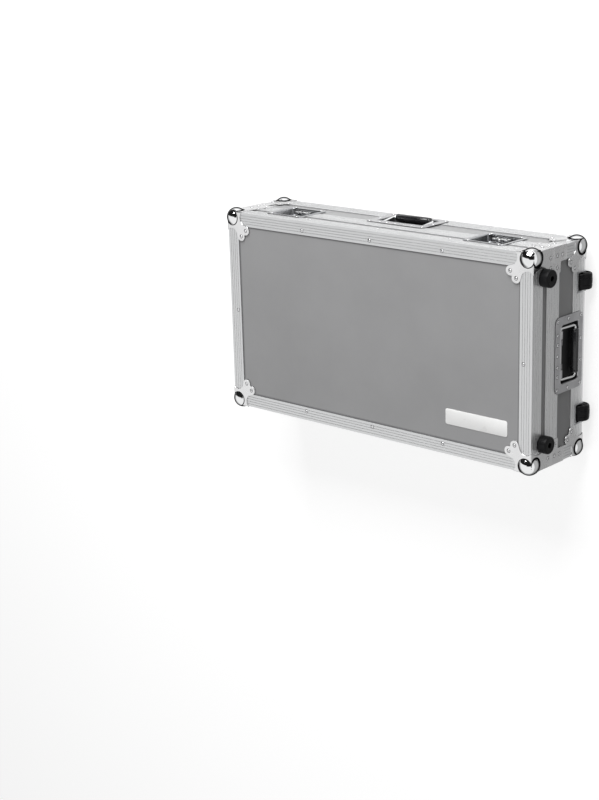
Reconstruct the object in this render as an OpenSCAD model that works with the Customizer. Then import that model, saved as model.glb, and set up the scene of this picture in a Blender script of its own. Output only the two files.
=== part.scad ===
// Flight case for guitar effect pedals, lying flat with its lid on top.
// A ribbed aluminium frame holds laminated plywood panels. The lid is hinged along the rear long side.
// Two recessed butterfly latches and a spring handle sit in the front long side, and each short end has
// a spring handle too. One short end, the wheel end, has two wheels and two rubber feet to stand on.
// Axes: X runs along the case with the wheel end at -X, the front is at -Y, and Z is up.

/* [Case body] */
// Length over the edging, without corners, feet and wheels
case_length = 880; // [840:10:960]
// Depth over the edging, from the front to the hinges
case_depth = 480; // [460:10:520]
// Height of the base over the edging
base_height = 122; // [120:1:140]
// Height of the lid over the edging
lid_height = 74; // [72:1:90]
// Thickness of the plywood panels
panel_thickness = 9; // [7:1:9]

/* [Edging] */
// Thickness of the aluminium sections
edging_thickness = 2; // [1.6:0.2:2]
// Width of the flanges on the lid, the floor and the upright corners
edging_flange = 32; // [28:1:34]
// Height of the lid's edging on its four sides
lid_edge_height = 36; // [32:1:36]
// Height of the base's bottom edging on its four sides
base_edge_height = 46; // [40:1:46]
// Height of each closing section beside the seam
rim_height = 23; // [20:1:24]

/* [Corners] */
// Diameter of the ball corners
ball_diameter = 46; // [44:1:46]
// Thickness of the corner plates and braces
plate_thickness = 1.5; // [1:0.25:2]
// Diameter of the rivet heads
rivet_diameter = 7.5; // [6:0.5:8]

/* [Latches] */
// Distance of each latch from the middle of the front
latch_offset = 288; // [270:1:290]
// Outward tilt of a latch's claw while the latch is open
latch_tilt = 6; // [5:0.5:6]

/* [Handles] */
// Diameter of the bail wire
bail_wire = 6; // [5:0.5:6]
// Diameter of the rubber grip
grip_diameter = 17; // [15:1:18]

/* [Wheels and feet] */
// Diameter of the wheels
wheel_diameter = 46; // [44:1:48]
// Width of the wheels
wheel_width = 35; // [32:1:36]
// Distance of each wheel from the middle of the wheel end
wheel_offset = 148; // [138:1:148]
// Height that the floor feet lift the case
foot_height = 24; // [24:1:30]
// Length of the rubber feet on the lid's wheel end
end_foot_length = 21; // [18:1:22]

/* [Lining] */
// Thickness of the foam on the base's walls
wall_foam = 20; // [14:1:20]
// Thickness of the foam on the floor
floor_foam = 15; // [10:1:18]
// Thickness of the foam in the lid
lid_foam = 20; // [10:1:20]

/* [Hidden] */
$fn = 64;
gap = 0.3; // clearance between neighbouring solids of different pieces
joint = 0.2; // open joint between the ends of bars or panels that meet
half_length = case_length / 2;
half_depth = case_depth / 2;
bottom_z = foot_height;
seam_z = bottom_z + base_height;
top_z = seam_z + lid_height;
seam_gap = 0.3; // each half stays this far from the seam plane
panel_inset = edging_thickness;
panel_back = panel_inset + panel_thickness;

// Closing sections: a channel over the panels' edges, with a tongue on the lid and a groove in the base
rim_web = 8;
rim_inner_leg = 18;
rim_depth = panel_back + edging_thickness;
tongue_inset = 5.5;
tongue_width = 3;
tongue_height = 5;
groove_inset = 4.4;
groove_width = 5.2;
groove_depth = 6;

// Ribs of the aluminium sections
groove_size = 1.2;
groove_cut = 0.5;
rib_pitch = 6.2;

// Corners
ball_radius = ball_diameter / 2;
ball_inset = 14;
corner_trim = 16;
tip_cut = ball_inset + 0.3 - sqrt(max(pow(ball_radius, 2) - 2 * pow(ball_inset + plate_thickness, 2), 0));
lobe_radius = 11;
lobe_near = 42;
lobe_far = 57;
lobe_valley = 53.5;
plate_notch = 17.5;
notch_near = 12;
lid_plate_width = 45;
lid_plate_flare = 5;
arch_width = 44;
arch_middle = 25;
arch_rise = 8;
brace_seam_leg = 57;
brace_width = 25;
brace_corner_leg = 48;
brace_corner_width = 33;
rivet_height = 1.6;

// Latches: heights are measured upwards from the seam, depths outwards from the edging's outer plane
pan_half_width = 46;
pan_up = 36;
pan_down = 42;
pan_depth = 16;
pan_wall = 1.2;
dish_half_width = 54;
dish_up = 44;
dish_down = 50;
latch_rivet_x = 40;
rotor_drop = 14;
rotor_post = 10;
rotor_head = 20;
rotor_head_top = -6.4;
rotor_head_thickness = 1.2;
wing_axis = -3.4;
wing_pin = 3;
wing_knuckle = 5.6;
ear_inner = 6;
ear_outer = 8.5;
ear_half_width = 2.8;
wing_lobe_x = 13;
wing_lobe_y = 12.5;
wing_lobe_radius = 9;
wing_thickness = 2.2;
claw_drop = 26;
claw_reach = 12;
claw_half_width = 11;
claw_thickness = 2;
claw_level = -12.6;
claw_axis_depth = -13.2;
claw_pin = 2.4;
claw_eye = 2.4;
hook_drop = 2.8;
hook_length = 2;
keeper_far = 8.8;
keeper_length = 3.4;
keeper_height = 2.7;
keeper_half_width = 14;

// Handles: tops and bottoms are measured down from the top of the lid, depths outwards
handle_top = 84;
handle_height = 105;
handle_half_length = 85;
handle_corner = 14;
grab_half_length = 65;
grab_top = 106;
grab_bottom = 171.5;
grab_depth = 14;
bail_axis_top = 112;
bail_axis_depth = -5;
bail_half_width = 57;
grip_axis_top = 160;
grip_axis_out = 0.5;
grip_half_length = 49;
bail_bend = 7;
bail_angle = atan((grip_axis_out - bail_axis_depth) / (grip_axis_top - bail_axis_top));
bail_arm = sqrt(pow(grip_axis_out - bail_axis_depth, 2) + pow(grip_axis_top - bail_axis_top, 2));
pivot_outer = 52;
pivot_inner = 34;
pivot_radius = 5.5;
spring_turns = 8;
spring_wire = 1.6;
spring_radius = 4.4;

// Wheels and feet
wheel_radius = wheel_diameter / 2;
wheel_x = -half_length + 7;
wheel_z = bottom_z + 1.5;
axle_diameter = 8;
housing_half = 19.5;
housing_depth = 33;
housing_top = 27.5;
housing_wall = 2;
housing_flange = 1.5;
housing_rim = 3;
foot_diameter = 38;
foot_x = half_length - 92;
foot_y = half_depth - 62;
end_foot_diameter = 39;
end_foot_drop = 40;
end_foot_offset = 182;
screw_head = 9;
screw_head_height = 3;
screw_slot = 1.2;
foot_floor = 6; // rubber left under the screw's head
foot_chamfer = 2;

// Hinges
hinge_offset = 250;
hinge_half = 30;
hinge_split = 14;
hinge_axis_out = 6;
hinge_radius = 5;
hinge_pin = 5;
leaf_thickness = 1.8;
leaf_height = 40;

// Name plate, on the lid near the wheel end
plate_x = -294;
plate_y = 152;
plate_length = 166;
plate_width = 36;
plate_height = 0.8;
plate_corner = 5;

// Rivets along the long flanges
flange_rivet_x = 203;
flange_rivet_inset = 22;
side_rivet_inset = 15;

// The part's origin is the middle of its bounding box, on the ground
reach_wheel_end = half_length + end_foot_length;
reach_out = max(grip_axis_out + grip_diameter / 2, ball_radius - ball_inset);
reach_handle_end = half_length + reach_out;
reach_front = half_depth + reach_out;
reach_rear = half_depth + hinge_axis_out + hinge_radius;
shift_x = (reach_wheel_end - reach_handle_end) / 2;
shift_y = (reach_front - reach_rear) / 2;

// Each side: turn about Z, distance of its outer plane, length of its front or rear bar
SIDES = [
    [0, half_depth, case_length],
    [180, half_depth, case_length],
    [90, half_length, case_depth],
    [-90, half_length, case_depth]
];

// ---- places ----

// Puts the part's origin where the hidden section says
module placed() {
    translate([shift_x, shift_y, 0]) children();
}

// A frame on one side: x along the side, y up, z outwards from the edging's outer plane
module on_side(side) {
    rotate([0, 0, side[0]]) translate([0, -side[1], 0]) rotate([90, 0, 0]) children();
}

// A frame on the front at one latch: x to the right, y up from the seam, z outwards
module at_latch(direction) {
    on_side(SIDES[0]) translate([direction * latch_offset, seam_z, 0]) children();
}

// A frame on one side at the middle of its length, y upwards from the top of the lid
module at_handle(side) {
    on_side(side) translate([0, top_z, 0]) children();
}

// The four upright corners of the case, with x and y inwards from each
module at_corners() {
    for (x = [0, 1], y = [0, 1])
        mirror([x, 0, 0]) mirror([0, y, 0]) translate([-half_length, -half_depth, 0]) children();
}

// The same corners at the top of the lid, with z downwards
module at_lid_corners() {
    at_corners() translate([0, 0, top_z]) mirror([0, 0, 1]) children();
}

module at_base_corners() {
    at_corners() translate([0, 0, bottom_z]) children();
}

// A box from its two opposite corners
module block(low, high) {
    translate(low) cube(high - low);
}

// Room for a ball corner, cut out of the frame and the panels
module corner_cut() {
    translate([-1, -1, -1]) cube(corner_trim + 1);
}

// ---- sections ----

// A flat strip whose outer face, at y = 0, has lengthwise grooves: from x = low to x = high
module ribbed_strip(low, high, thickness) {
    count = floor((high - low - 3) / rib_pitch);
    start = (low + high - (count - 1) * rib_pitch) / 2;
    difference() {
        translate([low, -thickness]) square([high - low, thickness]);
        for (i = [0:count - 1])
            translate([start + i * rib_pitch - groove_size / 2, -groove_cut])
                square([groove_size, groove_cut + 1]);
    }
}

// A section whose profile has x upwards and y outwards, run along one side
module bar(length) {
    rotate([90, 0, 90]) translate([0, 0, -length / 2]) linear_extrude(length) children();
}

// The edging round a horizontal edge: a side flange, and a flange that lies flat on the panel.
// up is 1 at the top of the lid and 0 at the bottom of the base. The end bars stop short of the long ones.
module edge_frame(edge_z, side_height, up) {
    low = edge_z - up * side_height;
    long_bar_end = half_depth - edging_flange - joint;
    room = edging_thickness + joint;
    for (side = SIDES) {
        is_end = side[1] == half_length;
        on_side(side) difference() {
            union() {
                bar(is_end ? case_depth - 2 * room : case_length)
                    ribbed_strip(low, low + side_height, edging_thickness);
                flat_flange(is_end ? 2 * long_bar_end : case_length, edge_z, up);
            }
            if (is_end)
                for (x = [0, 1])
                    mirror([x, 0, 0])
                        block([long_bar_end, edge_z - up * room, -edging_flange],
                            [half_depth, edge_z + (1 - up) * room, 1]);
        }
    }
}

// A flat flange of the edging in a side's frame, with grooves in its outer face
module flat_flange(length, edge_z, up) {
    count = floor((edging_flange - 3) / rib_pitch);
    start = (edging_flange - (count - 1) * rib_pitch) / 2;
    low = edge_z - up * edging_thickness;
    groove_low = up > 0 ? edge_z - groove_cut : edge_z - 1;
    difference() {
        block([-length / 2, low, -edging_flange], [length / 2, low + edging_thickness, 0]);
        for (i = [0:count - 1])
            translate([-length / 2 - 1, groove_low, -start - i * rib_pitch - groove_size / 2])
                cube([length + 2, groove_cut + 1, groove_size]);
    }
}

// Upright edging at the corners between two heights
module upright_edging(low, high) {
    at_corners() {
        for (swap = [0, 1])
            mirror([swap, -swap, 0]) difference() {
                block([0, 0, low], [edging_flange, edging_thickness, high]);
                for (x = [rib_pitch:rib_pitch:edging_flange - rib_pitch / 2])
                    translate([x, -1, low - 1])
                        cube([groove_size, groove_cut + 1, high - low + 2]);
            }
    }
}

// The space of the latch dishes, from one height to the other beside the seam
module latch_cut(low, high) {
    for (direction = [-1, 1])
        at_latch(direction)
            block([-pan_half_width - pan_wall - gap, low, -rim_depth - 1],
                [pan_half_width + pan_wall + gap, high, 1]);
}

// The space of a handle's recess through the panel
module handle_cut(side) {
    at_handle(side)
        block([-grab_half_length - pan_wall - gap, -grab_bottom - pan_wall - gap, -rim_depth - 1],
            [grab_half_length + pan_wall + gap, -grab_top + pan_wall + gap, 1]);
}

// The space of the wheel housings in the bottom of the wheel end
module wheel_cut() {
    for (y = [-wheel_offset, wheel_offset])
        block([-half_length - 1, y - housing_half - housing_wall - gap, bottom_z - 1],
            [-half_length + housing_depth + housing_wall + gap, y + housing_half + housing_wall + gap,
             bottom_z + housing_top + housing_wall + gap]);
}

module ball_rooms() {
    at_base_corners() corner_cut();
    at_lid_corners() corner_cut();
}

// ---- base shell ----

module base_floor() {
    color("dimgray") difference() {
        block([-half_length + panel_inset, -half_depth + panel_inset, bottom_z + panel_inset],
            [half_length - panel_inset, half_depth - panel_inset, bottom_z + panel_back]);
        wheel_cut();
        ball_rooms();
    }
}

// A wall of the base, between the floor panel and the closing section
module base_wall(side, length) {
    on_side(side)
        block([-length / 2, bottom_z + panel_back, -panel_back],
            [length / 2, seam_z - rim_web, -panel_inset]);
}

module base_front_panel() {
    color("gray") difference() {
        base_wall(SIDES[0], case_length - 2 * panel_inset);
        latch_cut(-pan_down - pan_wall - gap, pan_up);
        handle_cut(SIDES[0]);
        ball_rooms();
    }
}

module base_rear_panel() {
    color("gray") difference() {
        base_wall(SIDES[1], case_length - 2 * panel_inset);
        ball_rooms();
    }
}

module base_handle_end_panel() {
    color("gray") difference() {
        base_wall(SIDES[2], case_depth - 2 * (rim_depth + joint));
        handle_cut(SIDES[2]);
        ball_rooms();
    }
}

module base_wheel_end_panel() {
    color("gray") difference() {
        base_wall(SIDES[3], case_depth - 2 * (rim_depth + joint));
        handle_cut(SIDES[3]);
        wheel_cut();
        ball_rooms();
    }
}

module base_bottom_edging() {
    color("silver") difference() {
        edge_frame(bottom_z, base_edge_height, 0);
        for (i = [0, 2, 3])
            handle_cut(SIDES[i]);
        wheel_cut();
        ball_rooms();
    }
}

module base_corner_edging() {
    color("silver") upright_edging(bottom_z + base_edge_height, seam_z - rim_height);
}

// The closing section of one side of the base, with a groove for the lid's tongue
module base_rim_edging() {
    color("silver") difference() {
        for (side = SIDES) {
            is_end = side[1] == half_length;
            on_side(side) bar(is_end ? case_depth - 2 * (rim_depth + joint) : case_length) {
                ribbed_strip(seam_z - rim_height, seam_z - seam_gap, edging_thickness);
                difference() {
                    translate([seam_z - rim_web, -rim_depth]) square([rim_web - seam_gap, panel_back]);
                    translate([seam_z - groove_depth, -groove_inset - groove_width])
                        square([groove_depth + 1, groove_width]);
                }
                translate([seam_z - rim_inner_leg, -rim_depth])
                    square([rim_inner_leg - rim_web, edging_thickness]);
            }
        }
        latch_cut(-pan_down, pan_up);
    }
}

// ---- corners ----

// The outline of a corner plate with two riveted lobes, from its corner inwards. Its tip ends inside the
// ball, and its two legs end in round notches over the edging's flanges.
module lobe_plate() {
    leg = lobe_near + 3;
    difference() {
        polygon([
            [-plate_thickness, tip_cut], [tip_cut, -plate_thickness], [leg, -plate_thickness],
            [lobe_far, lobe_near - lobe_radius], [lobe_far, lobe_near], [lobe_valley, lobe_valley],
            [lobe_near, lobe_far], [lobe_near - lobe_radius, lobe_far], [-plate_thickness, leg]
        ]);
        for (p = [[lobe_far, notch_near], [notch_near, lobe_far]])
            translate(p) circle(plate_notch);
    }
    for (p = [[lobe_far, lobe_near], [lobe_near, lobe_far]])
        translate(p) circle(lobe_radius);
}

// The outline of a lid corner's side plate, which ends at the seam. Its edge arches over the edging.
module seam_plate() {
    steps = 12;
    polygon(concat(
        [[-plate_thickness, lid_height - seam_gap], [-plate_thickness, tip_cut],
            [tip_cut, -plate_thickness], [lid_plate_width, -plate_thickness]],
        [for (i = [0:steps])
            let (t = i / steps * 2 - 1)
                [lid_plate_width - arch_rise * (1 - t * t), arch_middle + t * arch_width / 2]],
        [[lid_plate_width + lid_plate_flare, lid_height - seam_gap]]
    ));
}

// A plate outline laid on the corner's flat face, or on one of its two upright faces
module plate_on_flat() {
    translate([0, 0, -plate_thickness]) linear_extrude(plate_thickness) children();
}

module plate_on_front() {
    rotate([90, 0, 0]) linear_extrude(plate_thickness) children();
}

module plate_on_end() {
    translate([-plate_thickness, 0, 0]) rotate([90, 0, 90]) linear_extrude(plate_thickness) children();
}

// The pressed ball that wraps a corner of the case
module corner_ball() {
    difference() {
        translate([ball_inset, ball_inset, ball_inset]) sphere(ball_radius);
        difference() {
            cube(3 * ball_radius);
            translate([-1, -1, -1]) cube(corner_trim + 1 - gap / 3);
        }
    }
}

module base_ball_corners() {
    color("gainsboro") at_base_corners() {
        corner_ball();
        plate_on_flat() lobe_plate();
        plate_on_front() lobe_plate();
        plate_on_end() lobe_plate();
    }
}

// The plates at the wheel end are cut back round the rubber feet
module lid_ball_corners() {
    color("gainsboro") difference() {
        at_lid_corners() {
            corner_ball();
            plate_on_flat() lobe_plate();
            plate_on_front() seam_plate();
            plate_on_end() seam_plate();
        }
        at_end_feet() cylinder(d = end_foot_diameter + 2 * gap, h = end_foot_length);
    }
}

// The outline of a brace: a leg along the seam and a leg down the corner
module brace_outline() {
    low = seam_z - seam_gap - brace_width;
    translate([-plate_thickness, low]) square([brace_seam_leg + plate_thickness, brace_width]);
    translate([-plate_thickness, seam_z - brace_corner_leg])
        square([brace_corner_width + plate_thickness, brace_corner_leg - seam_gap]);
}

module base_corner_braces() {
    color("gainsboro") at_corners() {
        plate_on_front() brace_outline();
        plate_on_end() brace_outline();
    }
}

// ---- rivets ----

module rivet() {
    cylinder(d1 = rivet_diameter, d2 = rivet_diameter * 0.6, h = rivet_height);
}

// Rivets of the corner plates and braces, in each plate's own outline
LOBE_RIVETS = [[lobe_far, lobe_near], [lobe_near, lobe_far]];
SEAM_PLATE_RIVETS = [[20, lid_height - 12], [42, lid_height - 12]];
BRACE_RIVETS = [[19, seam_z - 13], [45, seam_z - 13], [19, seam_z - 32]];

// Rivets at a list of places on a corner's face: 0 is flat, 1 is the front, 2 is the end
module face_rivets(places, face) {
    for (p = places) {
        if (face == 0)
            translate([p[0], p[1], -plate_thickness]) mirror([0, 0, 1]) rivet();
        if (face == 1)
            translate([p[0], -plate_thickness, p[1]]) rotate([90, 0, 0]) rivet();
        if (face == 2)
            translate([-plate_thickness, p[0], p[1]]) rotate([0, -90, 0]) rivet();
    }
}

// Rivets of one hinge leaf, from the pin
HINGE_RIVETS = [[-20, 31], [0, 31], [20, 31], [-20, 15], [20, 15]];

// Rivets of a handle plate, round its edge
HANDLE_RIVETS = [
    [-76, -93], [-46, -93], [-25, -93], [0, -93], [25, -93], [46, -93], [76, -93],
    [-76, -180], [-24, -180], [24, -180], [76, -180], [-77, -133], [77, -133]
];

module base_rivets() {
    color("lightgray") {
        at_base_corners()
            for (face = [0, 1, 2])
                face_rivets(LOBE_RIVETS, face);
        at_corners()
            for (face = [1, 2])
                face_rivets(BRACE_RIVETS, face);
        for (i = [0, 2, 3], p = HANDLE_RIVETS)
            at_handle(SIDES[i]) translate([p[0], p[1], plate_thickness]) rivet();
        for (direction = [-1, 1], x = [-latch_rivet_x, latch_rivet_x])
            at_latch(direction) translate([x, -(pan_down + dish_down) / 2, plate_thickness]) rivet();
        for (i = [0, 1], x = [-flange_rivet_x, flange_rivet_x])
            on_side(SIDES[i]) translate([x, bottom_z + side_rivet_inset, 0]) rivet();
        for (p = HINGE_RIVETS)
            at_hinges() translate([p[0], -p[1], leaf_thickness]) rivet();
    }
}

module lid_rivets() {
    color("lightgray") {
        at_lid_corners() {
            face_rivets(LOBE_RIVETS, 0);
            for (face = [1, 2])
                face_rivets(SEAM_PLATE_RIVETS, face);
        }
        for (x = [-flange_rivet_x, 0, flange_rivet_x], y = [-1, 1])
            translate([x, y * (half_depth - flange_rivet_inset), top_z]) rivet();
        for (x = [-1, 1])
            translate([x * (half_length - flange_rivet_inset), 0, top_z]) rivet();
        for (i = [0, 1], x = [-flange_rivet_x, 0, flange_rivet_x])
            on_side(SIDES[i]) translate([x, top_z - 2 * side_rivet_inset, 0]) rivet();
        for (direction = [-1, 1], x = [-latch_rivet_x, latch_rivet_x])
            at_latch(direction) translate([x, (pan_up + dish_up) / 2, plate_thickness]) rivet();
        for (p = HINGE_RIVETS)
            at_hinges() translate([p[0], p[1], leaf_thickness]) rivet();
    }
}

// ---- lining ----

// One block of foam on a wall, in the side's frame: from low to high along it, its front at a depth and
// its bottom at a height
module foam_block(low, high, front, foot) {
    block([low + joint / 2, foot, -panel_back - wall_foam],
        [high - joint / 2, seam_z - rim_inner_leg - 1, -front]);
}

module base_floor_pad() {
    inset = panel_back + wall_foam + gap;
    wheel_room = max(inset, housing_depth + housing_wall + gap);
    color("black")
        block([-half_length + wheel_room, -half_depth + inset, bottom_z + panel_back],
            [half_length - inset, half_depth - inset, bottom_z + panel_back + floor_foam]);
}

// Foam round the walls, thinner behind the recessed dishes and open over the wheel housings
module base_wall_pads() {
    foot = bottom_z + panel_back;
    long_end = half_length - corner_trim;
    short_end = half_depth - panel_back - wall_foam - gap;
    grab_end = grab_half_length + 2;
    behind_grab = grab_depth + pan_wall + gap;
    latch_room = pan_half_width + 2;
    behind_latch = pan_depth + pan_wall + gap;
    wheel_room = housing_half + housing_wall + gap;
    over_wheel = bottom_z + housing_top + housing_wall + gap;
    color("black") {
        for (i = [0, 2, 3])
            on_side(SIDES[i]) foam_block(-grab_end, grab_end, behind_grab, foot);
        for (x = [0, 1]) {
            on_side(SIDES[0]) mirror([x, 0, 0]) {
                foam_block(grab_end, latch_offset - latch_room, panel_back, foot);
                foam_block(latch_offset - latch_room, latch_offset + latch_room, behind_latch, foot);
                foam_block(latch_offset + latch_room, long_end, panel_back, foot);
            }
            on_side(SIDES[2]) mirror([x, 0, 0]) foam_block(grab_end, short_end, panel_back, foot);
            on_side(SIDES[3]) mirror([x, 0, 0]) {
                foam_block(grab_end, wheel_offset - wheel_room, panel_back, foot);
                foam_block(wheel_offset - wheel_room, wheel_offset + wheel_room, panel_back, over_wheel);
                foam_block(wheel_offset + wheel_room, short_end, panel_back, foot);
            }
        }
        on_side(SIDES[1]) foam_block(-long_end, long_end, panel_back, foot);
    }
}

module lid_pad() {
    inset = rim_depth + 7;
    color("black")
        block([-half_length + inset, -half_depth + inset, top_z - panel_back - lid_foam],
            [half_length - inset, half_depth - inset, top_z - panel_back]);
}

// ---- feet ----

// A rubber foot with a screw hole, standing on z = 0, its mouth at the far end
module rubber_foot(diameter, height) {
    difference() {
        union() {
            cylinder(d = diameter, h = height - foot_chamfer);
            translate([0, 0, height - foot_chamfer])
                cylinder(d1 = diameter, d2 = diameter - 2 * foot_chamfer, h = foot_chamfer);
        }
        translate([0, 0, foot_floor]) cylinder(d = screw_head + 3, h = height);
        translate([0, 0, -1]) cylinder(d = screw_head / 2 + 0.5, h = height);
    }
}

// The screw that holds a foot: its head inside the hole, its shank down to the panel
module foot_screw() {
    slot_floor = foot_floor + screw_head_height - 1;
    difference() {
        translate([0, 0, foot_floor]) cylinder(d = screw_head, h = screw_head_height);
        for (turn = [0, 90])
            rotate([0, 0, turn]) translate([-screw_slot / 2, -screw_head, slot_floor])
                cube([screw_slot, 2 * screw_head, 2]);
    }
    cylinder(d = screw_head / 2, h = foot_floor);
}

module at_floor_feet() {
    for (x = [-foot_x, foot_x], y = [-foot_y, foot_y])
        translate([x, y, bottom_z + panel_inset]) mirror([0, 0, 1]) children();
}

module at_end_feet() {
    for (x = [-end_foot_offset, end_foot_offset])
        on_side(SIDES[3]) translate([x, top_z - end_foot_drop, 0]) children();
}

module floor_feet() {
    color("#202020") at_floor_feet() rubber_foot(foot_diameter, foot_height + panel_inset);
}

module floor_foot_screws() {
    color("silver") at_floor_feet() foot_screw();
}

module end_feet() {
    color("#202020") at_end_feet() rubber_foot(end_foot_diameter, end_foot_length);
}

module end_foot_screws() {
    color("silver") at_end_feet() foot_screw();
}

// ---- wheels ----

// A wheel housing, a pocket that opens down and outwards, with a flange on both faces
module wheel_housing(y) {
    outer = housing_half + housing_wall;
    flange = outer + housing_flange;
    x = -half_length;
    color("dimgray") translate([0, y, bottom_z]) difference() {
        union() {
            block([x, -outer, 0], [x + housing_depth + housing_wall, outer, housing_top + housing_wall]);
            block([x - plate_thickness, -flange, -plate_thickness],
                [x, flange, housing_top + housing_rim]);
            block([x - plate_thickness, -flange, -plate_thickness],
                [x + housing_depth + housing_rim, flange, 0]);
        }
        block([x - 5, -housing_half, -5], [x + housing_depth, housing_half, housing_top]);
        translate([wheel_x, -flange - 1, wheel_z - bottom_z])
            rotate([-90, 0, 0]) cylinder(d = axle_diameter, h = 2 * flange + 2);
    }
}

module front_wheel_housing() {
    wheel_housing(-wheel_offset);
}

module rear_wheel_housing() {
    wheel_housing(wheel_offset);
}

module wheel_axles() {
    outer = housing_half + housing_wall;
    color("silver") for (y = [-wheel_offset, wheel_offset])
        translate([wheel_x, y - outer, wheel_z]) rotate([-90, 0, 0])
            cylinder(d = axle_diameter, h = 2 * outer);
}

// A crowned tyre with two grooves, on a bored hub
module wheel(y) {
    half = wheel_width / 2;
    color("#181818") translate([wheel_x, y, wheel_z]) rotate([-90, 0, 0]) rotate_extrude()
        polygon([
            [axle_diameter / 2 + 0.05, -half], [wheel_radius - 4, -half], [wheel_radius - 1, -half + 3],
            [wheel_radius - 0.4, -8], [wheel_radius - 1.2, -7.5], [wheel_radius - 1.2, -6],
            [wheel_radius - 0.2, -5.5], [wheel_radius, 0],
            [wheel_radius - 0.2, 5.5], [wheel_radius - 1.2, 6], [wheel_radius - 1.2, 7.5],
            [wheel_radius - 0.4, 8], [wheel_radius - 1, half - 3], [wheel_radius - 4, half],
            [axle_diameter / 2 + 0.05, half]
        ]);
}

module front_wheel() {
    wheel(-wheel_offset);
}

module rear_wheel() {
    wheel(wheel_offset);
}

// ---- latches ----

// Half of a pressed latch dish on one side of the seam: a pan with three walls and a flange
module latch_dish(pan, dish, up) {
    pan_outer = pan_half_width + pan_wall;
    far = pan + pan_wall;
    color("silver") mirror([0, 1 - up, 0]) difference() {
        union() {
            block([-pan_outer, seam_gap, -pan_depth - pan_wall], [pan_outer, far, 0]);
            block([-dish_half_width, seam_gap, 0], [dish_half_width, dish, plate_thickness]);
        }
        block([-pan_half_width, seam_gap - 1, -pan_depth], [pan_half_width, pan, plate_thickness + 1]);
    }
}

// The base half of a dish also carries the rotor's bearing and the two ears of the claw's pin
module latch_base_dish(direction) {
    at_latch(direction) {
        difference() {
            latch_dish(pan_down, dish_down, 0);
            translate([0, -rotor_drop, -pan_depth - 5]) cylinder(d = rotor_post - 2 + 0.1, h = 10);
        }
        color("silver") for (x = [-1, 1])
            difference() {
                translate([x * (claw_half_width + 1.6) - 1.2, -claw_drop - rotor_post / 2 - 2.6, -pan_depth])
                    cube([2.4, 5.2, pan_depth + claw_axis_depth + 2.4]);
                claw_axis() cylinder(d = claw_pin, h = 60, center = true);
            }
    }
}

// The line about which a claw swings, along x
module claw_axis() {
    translate([0, -claw_drop - rotor_post / 2, claw_axis_depth]) rotate([0, 90, 0]) children();
}

module left_latch_base_dish() {
    latch_base_dish(-1);
}

module right_latch_base_dish() {
    latch_base_dish(1);
}

module left_latch_lid_dish() {
    at_latch(-1) latch_dish(pan_up, dish_up, 1);
}

module right_latch_lid_dish() {
    at_latch(1) latch_dish(pan_up, dish_up, 1);
}

// The raised bars on the lid's dishes that the claws pull on
module latch_keepers() {
    color("gainsboro") for (direction = [-1, 1])
        at_latch(direction)
            block([-keeper_half_width, keeper_far - keeper_length, -pan_depth],
                [keeper_half_width, keeper_far, -pan_depth + keeper_height]);
}

module latch_claw_pins() {
    color("silver") for (direction = [-1, 1])
        at_latch(direction) claw_axis()
            cylinder(d = claw_pin, h = 2 * (claw_half_width + 2.8), center = true);
}

// A claw: an eye round its pin, a plate with a slot round the rotor's post, and a hook above the keeper.
// It rests tilted outwards, clear of the keeper, and swings in when the wing is turned.
module latch_claw(direction) {
    pin_drop = claw_drop + rotor_post / 2;
    axis_to_plate = claw_level - claw_axis_depth;
    plate_end = pin_drop + claw_reach;
    color("gainsboro") at_latch(direction) translate([0, -pin_drop, claw_axis_depth])
        rotate([latch_tilt, 0, 0]) difference() {
            union() {
                translate([-claw_half_width, 0, 0]) rotate([0, 90, 0])
                    cylinder(r = claw_eye, h = 2 * claw_half_width);
                block([-claw_half_width, 0, axis_to_plate],
                    [claw_half_width, plate_end, axis_to_plate + claw_thickness]);
                block([-claw_half_width, plate_end - hook_length, axis_to_plate - hook_drop],
                    [claw_half_width, plate_end, axis_to_plate + claw_thickness]);
            }
            translate([-claw_half_width - 1, 0, 0]) rotate([0, 90, 0])
                cylinder(d = claw_pin + 0.1, h = 2 * claw_half_width + 2);
            block([-rotor_post / 2 - 1, pin_drop - rotor_drop - 7, -3], [rotor_post / 2 + 1,
                pin_drop - rotor_drop + 7, 6]);
        }
}

module left_latch_claw() {
    latch_claw(-1);
}

module right_latch_claw() {
    latch_claw(1);
}

// A rotor: a post in the dish's floor, a round head, and two ears that hold the wing's pin
module latch_rotor(direction) {
    head_low = rotor_head_top - rotor_head_thickness;
    color("lightgray") at_latch(direction) translate([0, -rotor_drop, 0]) difference() {
        union() {
            translate([0, 0, -pan_depth - pan_wall]) cylinder(d = rotor_post - 2, h = 4);
            translate([0, 0, -pan_depth + 0.05]) cylinder(d = rotor_post, h = pan_depth + head_low);
            translate([0, 0, head_low]) cylinder(d = rotor_head, h = rotor_head_thickness);
            for (x = [-1, 1])
                translate([x * (ear_inner + ear_outer) / 2 - (ear_outer - ear_inner) / 2, -ear_half_width,
                    rotor_head_top - 0.5])
                    cube([ear_outer - ear_inner, 2 * ear_half_width, wing_axis - rotor_head_top + 3]);
        }
        translate([0, 0, wing_axis]) rotate([0, 90, 0]) cylinder(d = wing_pin, h = 40, center = true);
    }
}

module left_latch_rotor() {
    latch_rotor(-1);
}

module right_latch_rotor() {
    latch_rotor(1);
}

module latch_wing_pin(direction) {
    color("silver") at_latch(direction) translate([0, -rotor_drop, wing_axis]) rotate([0, 90, 0])
        cylinder(d = wing_pin, h = 2 * ear_outer, center = true);
}

module left_latch_wing_pin() {
    latch_wing_pin(-1);
}

module right_latch_wing_pin() {
    latch_wing_pin(1);
}

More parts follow.
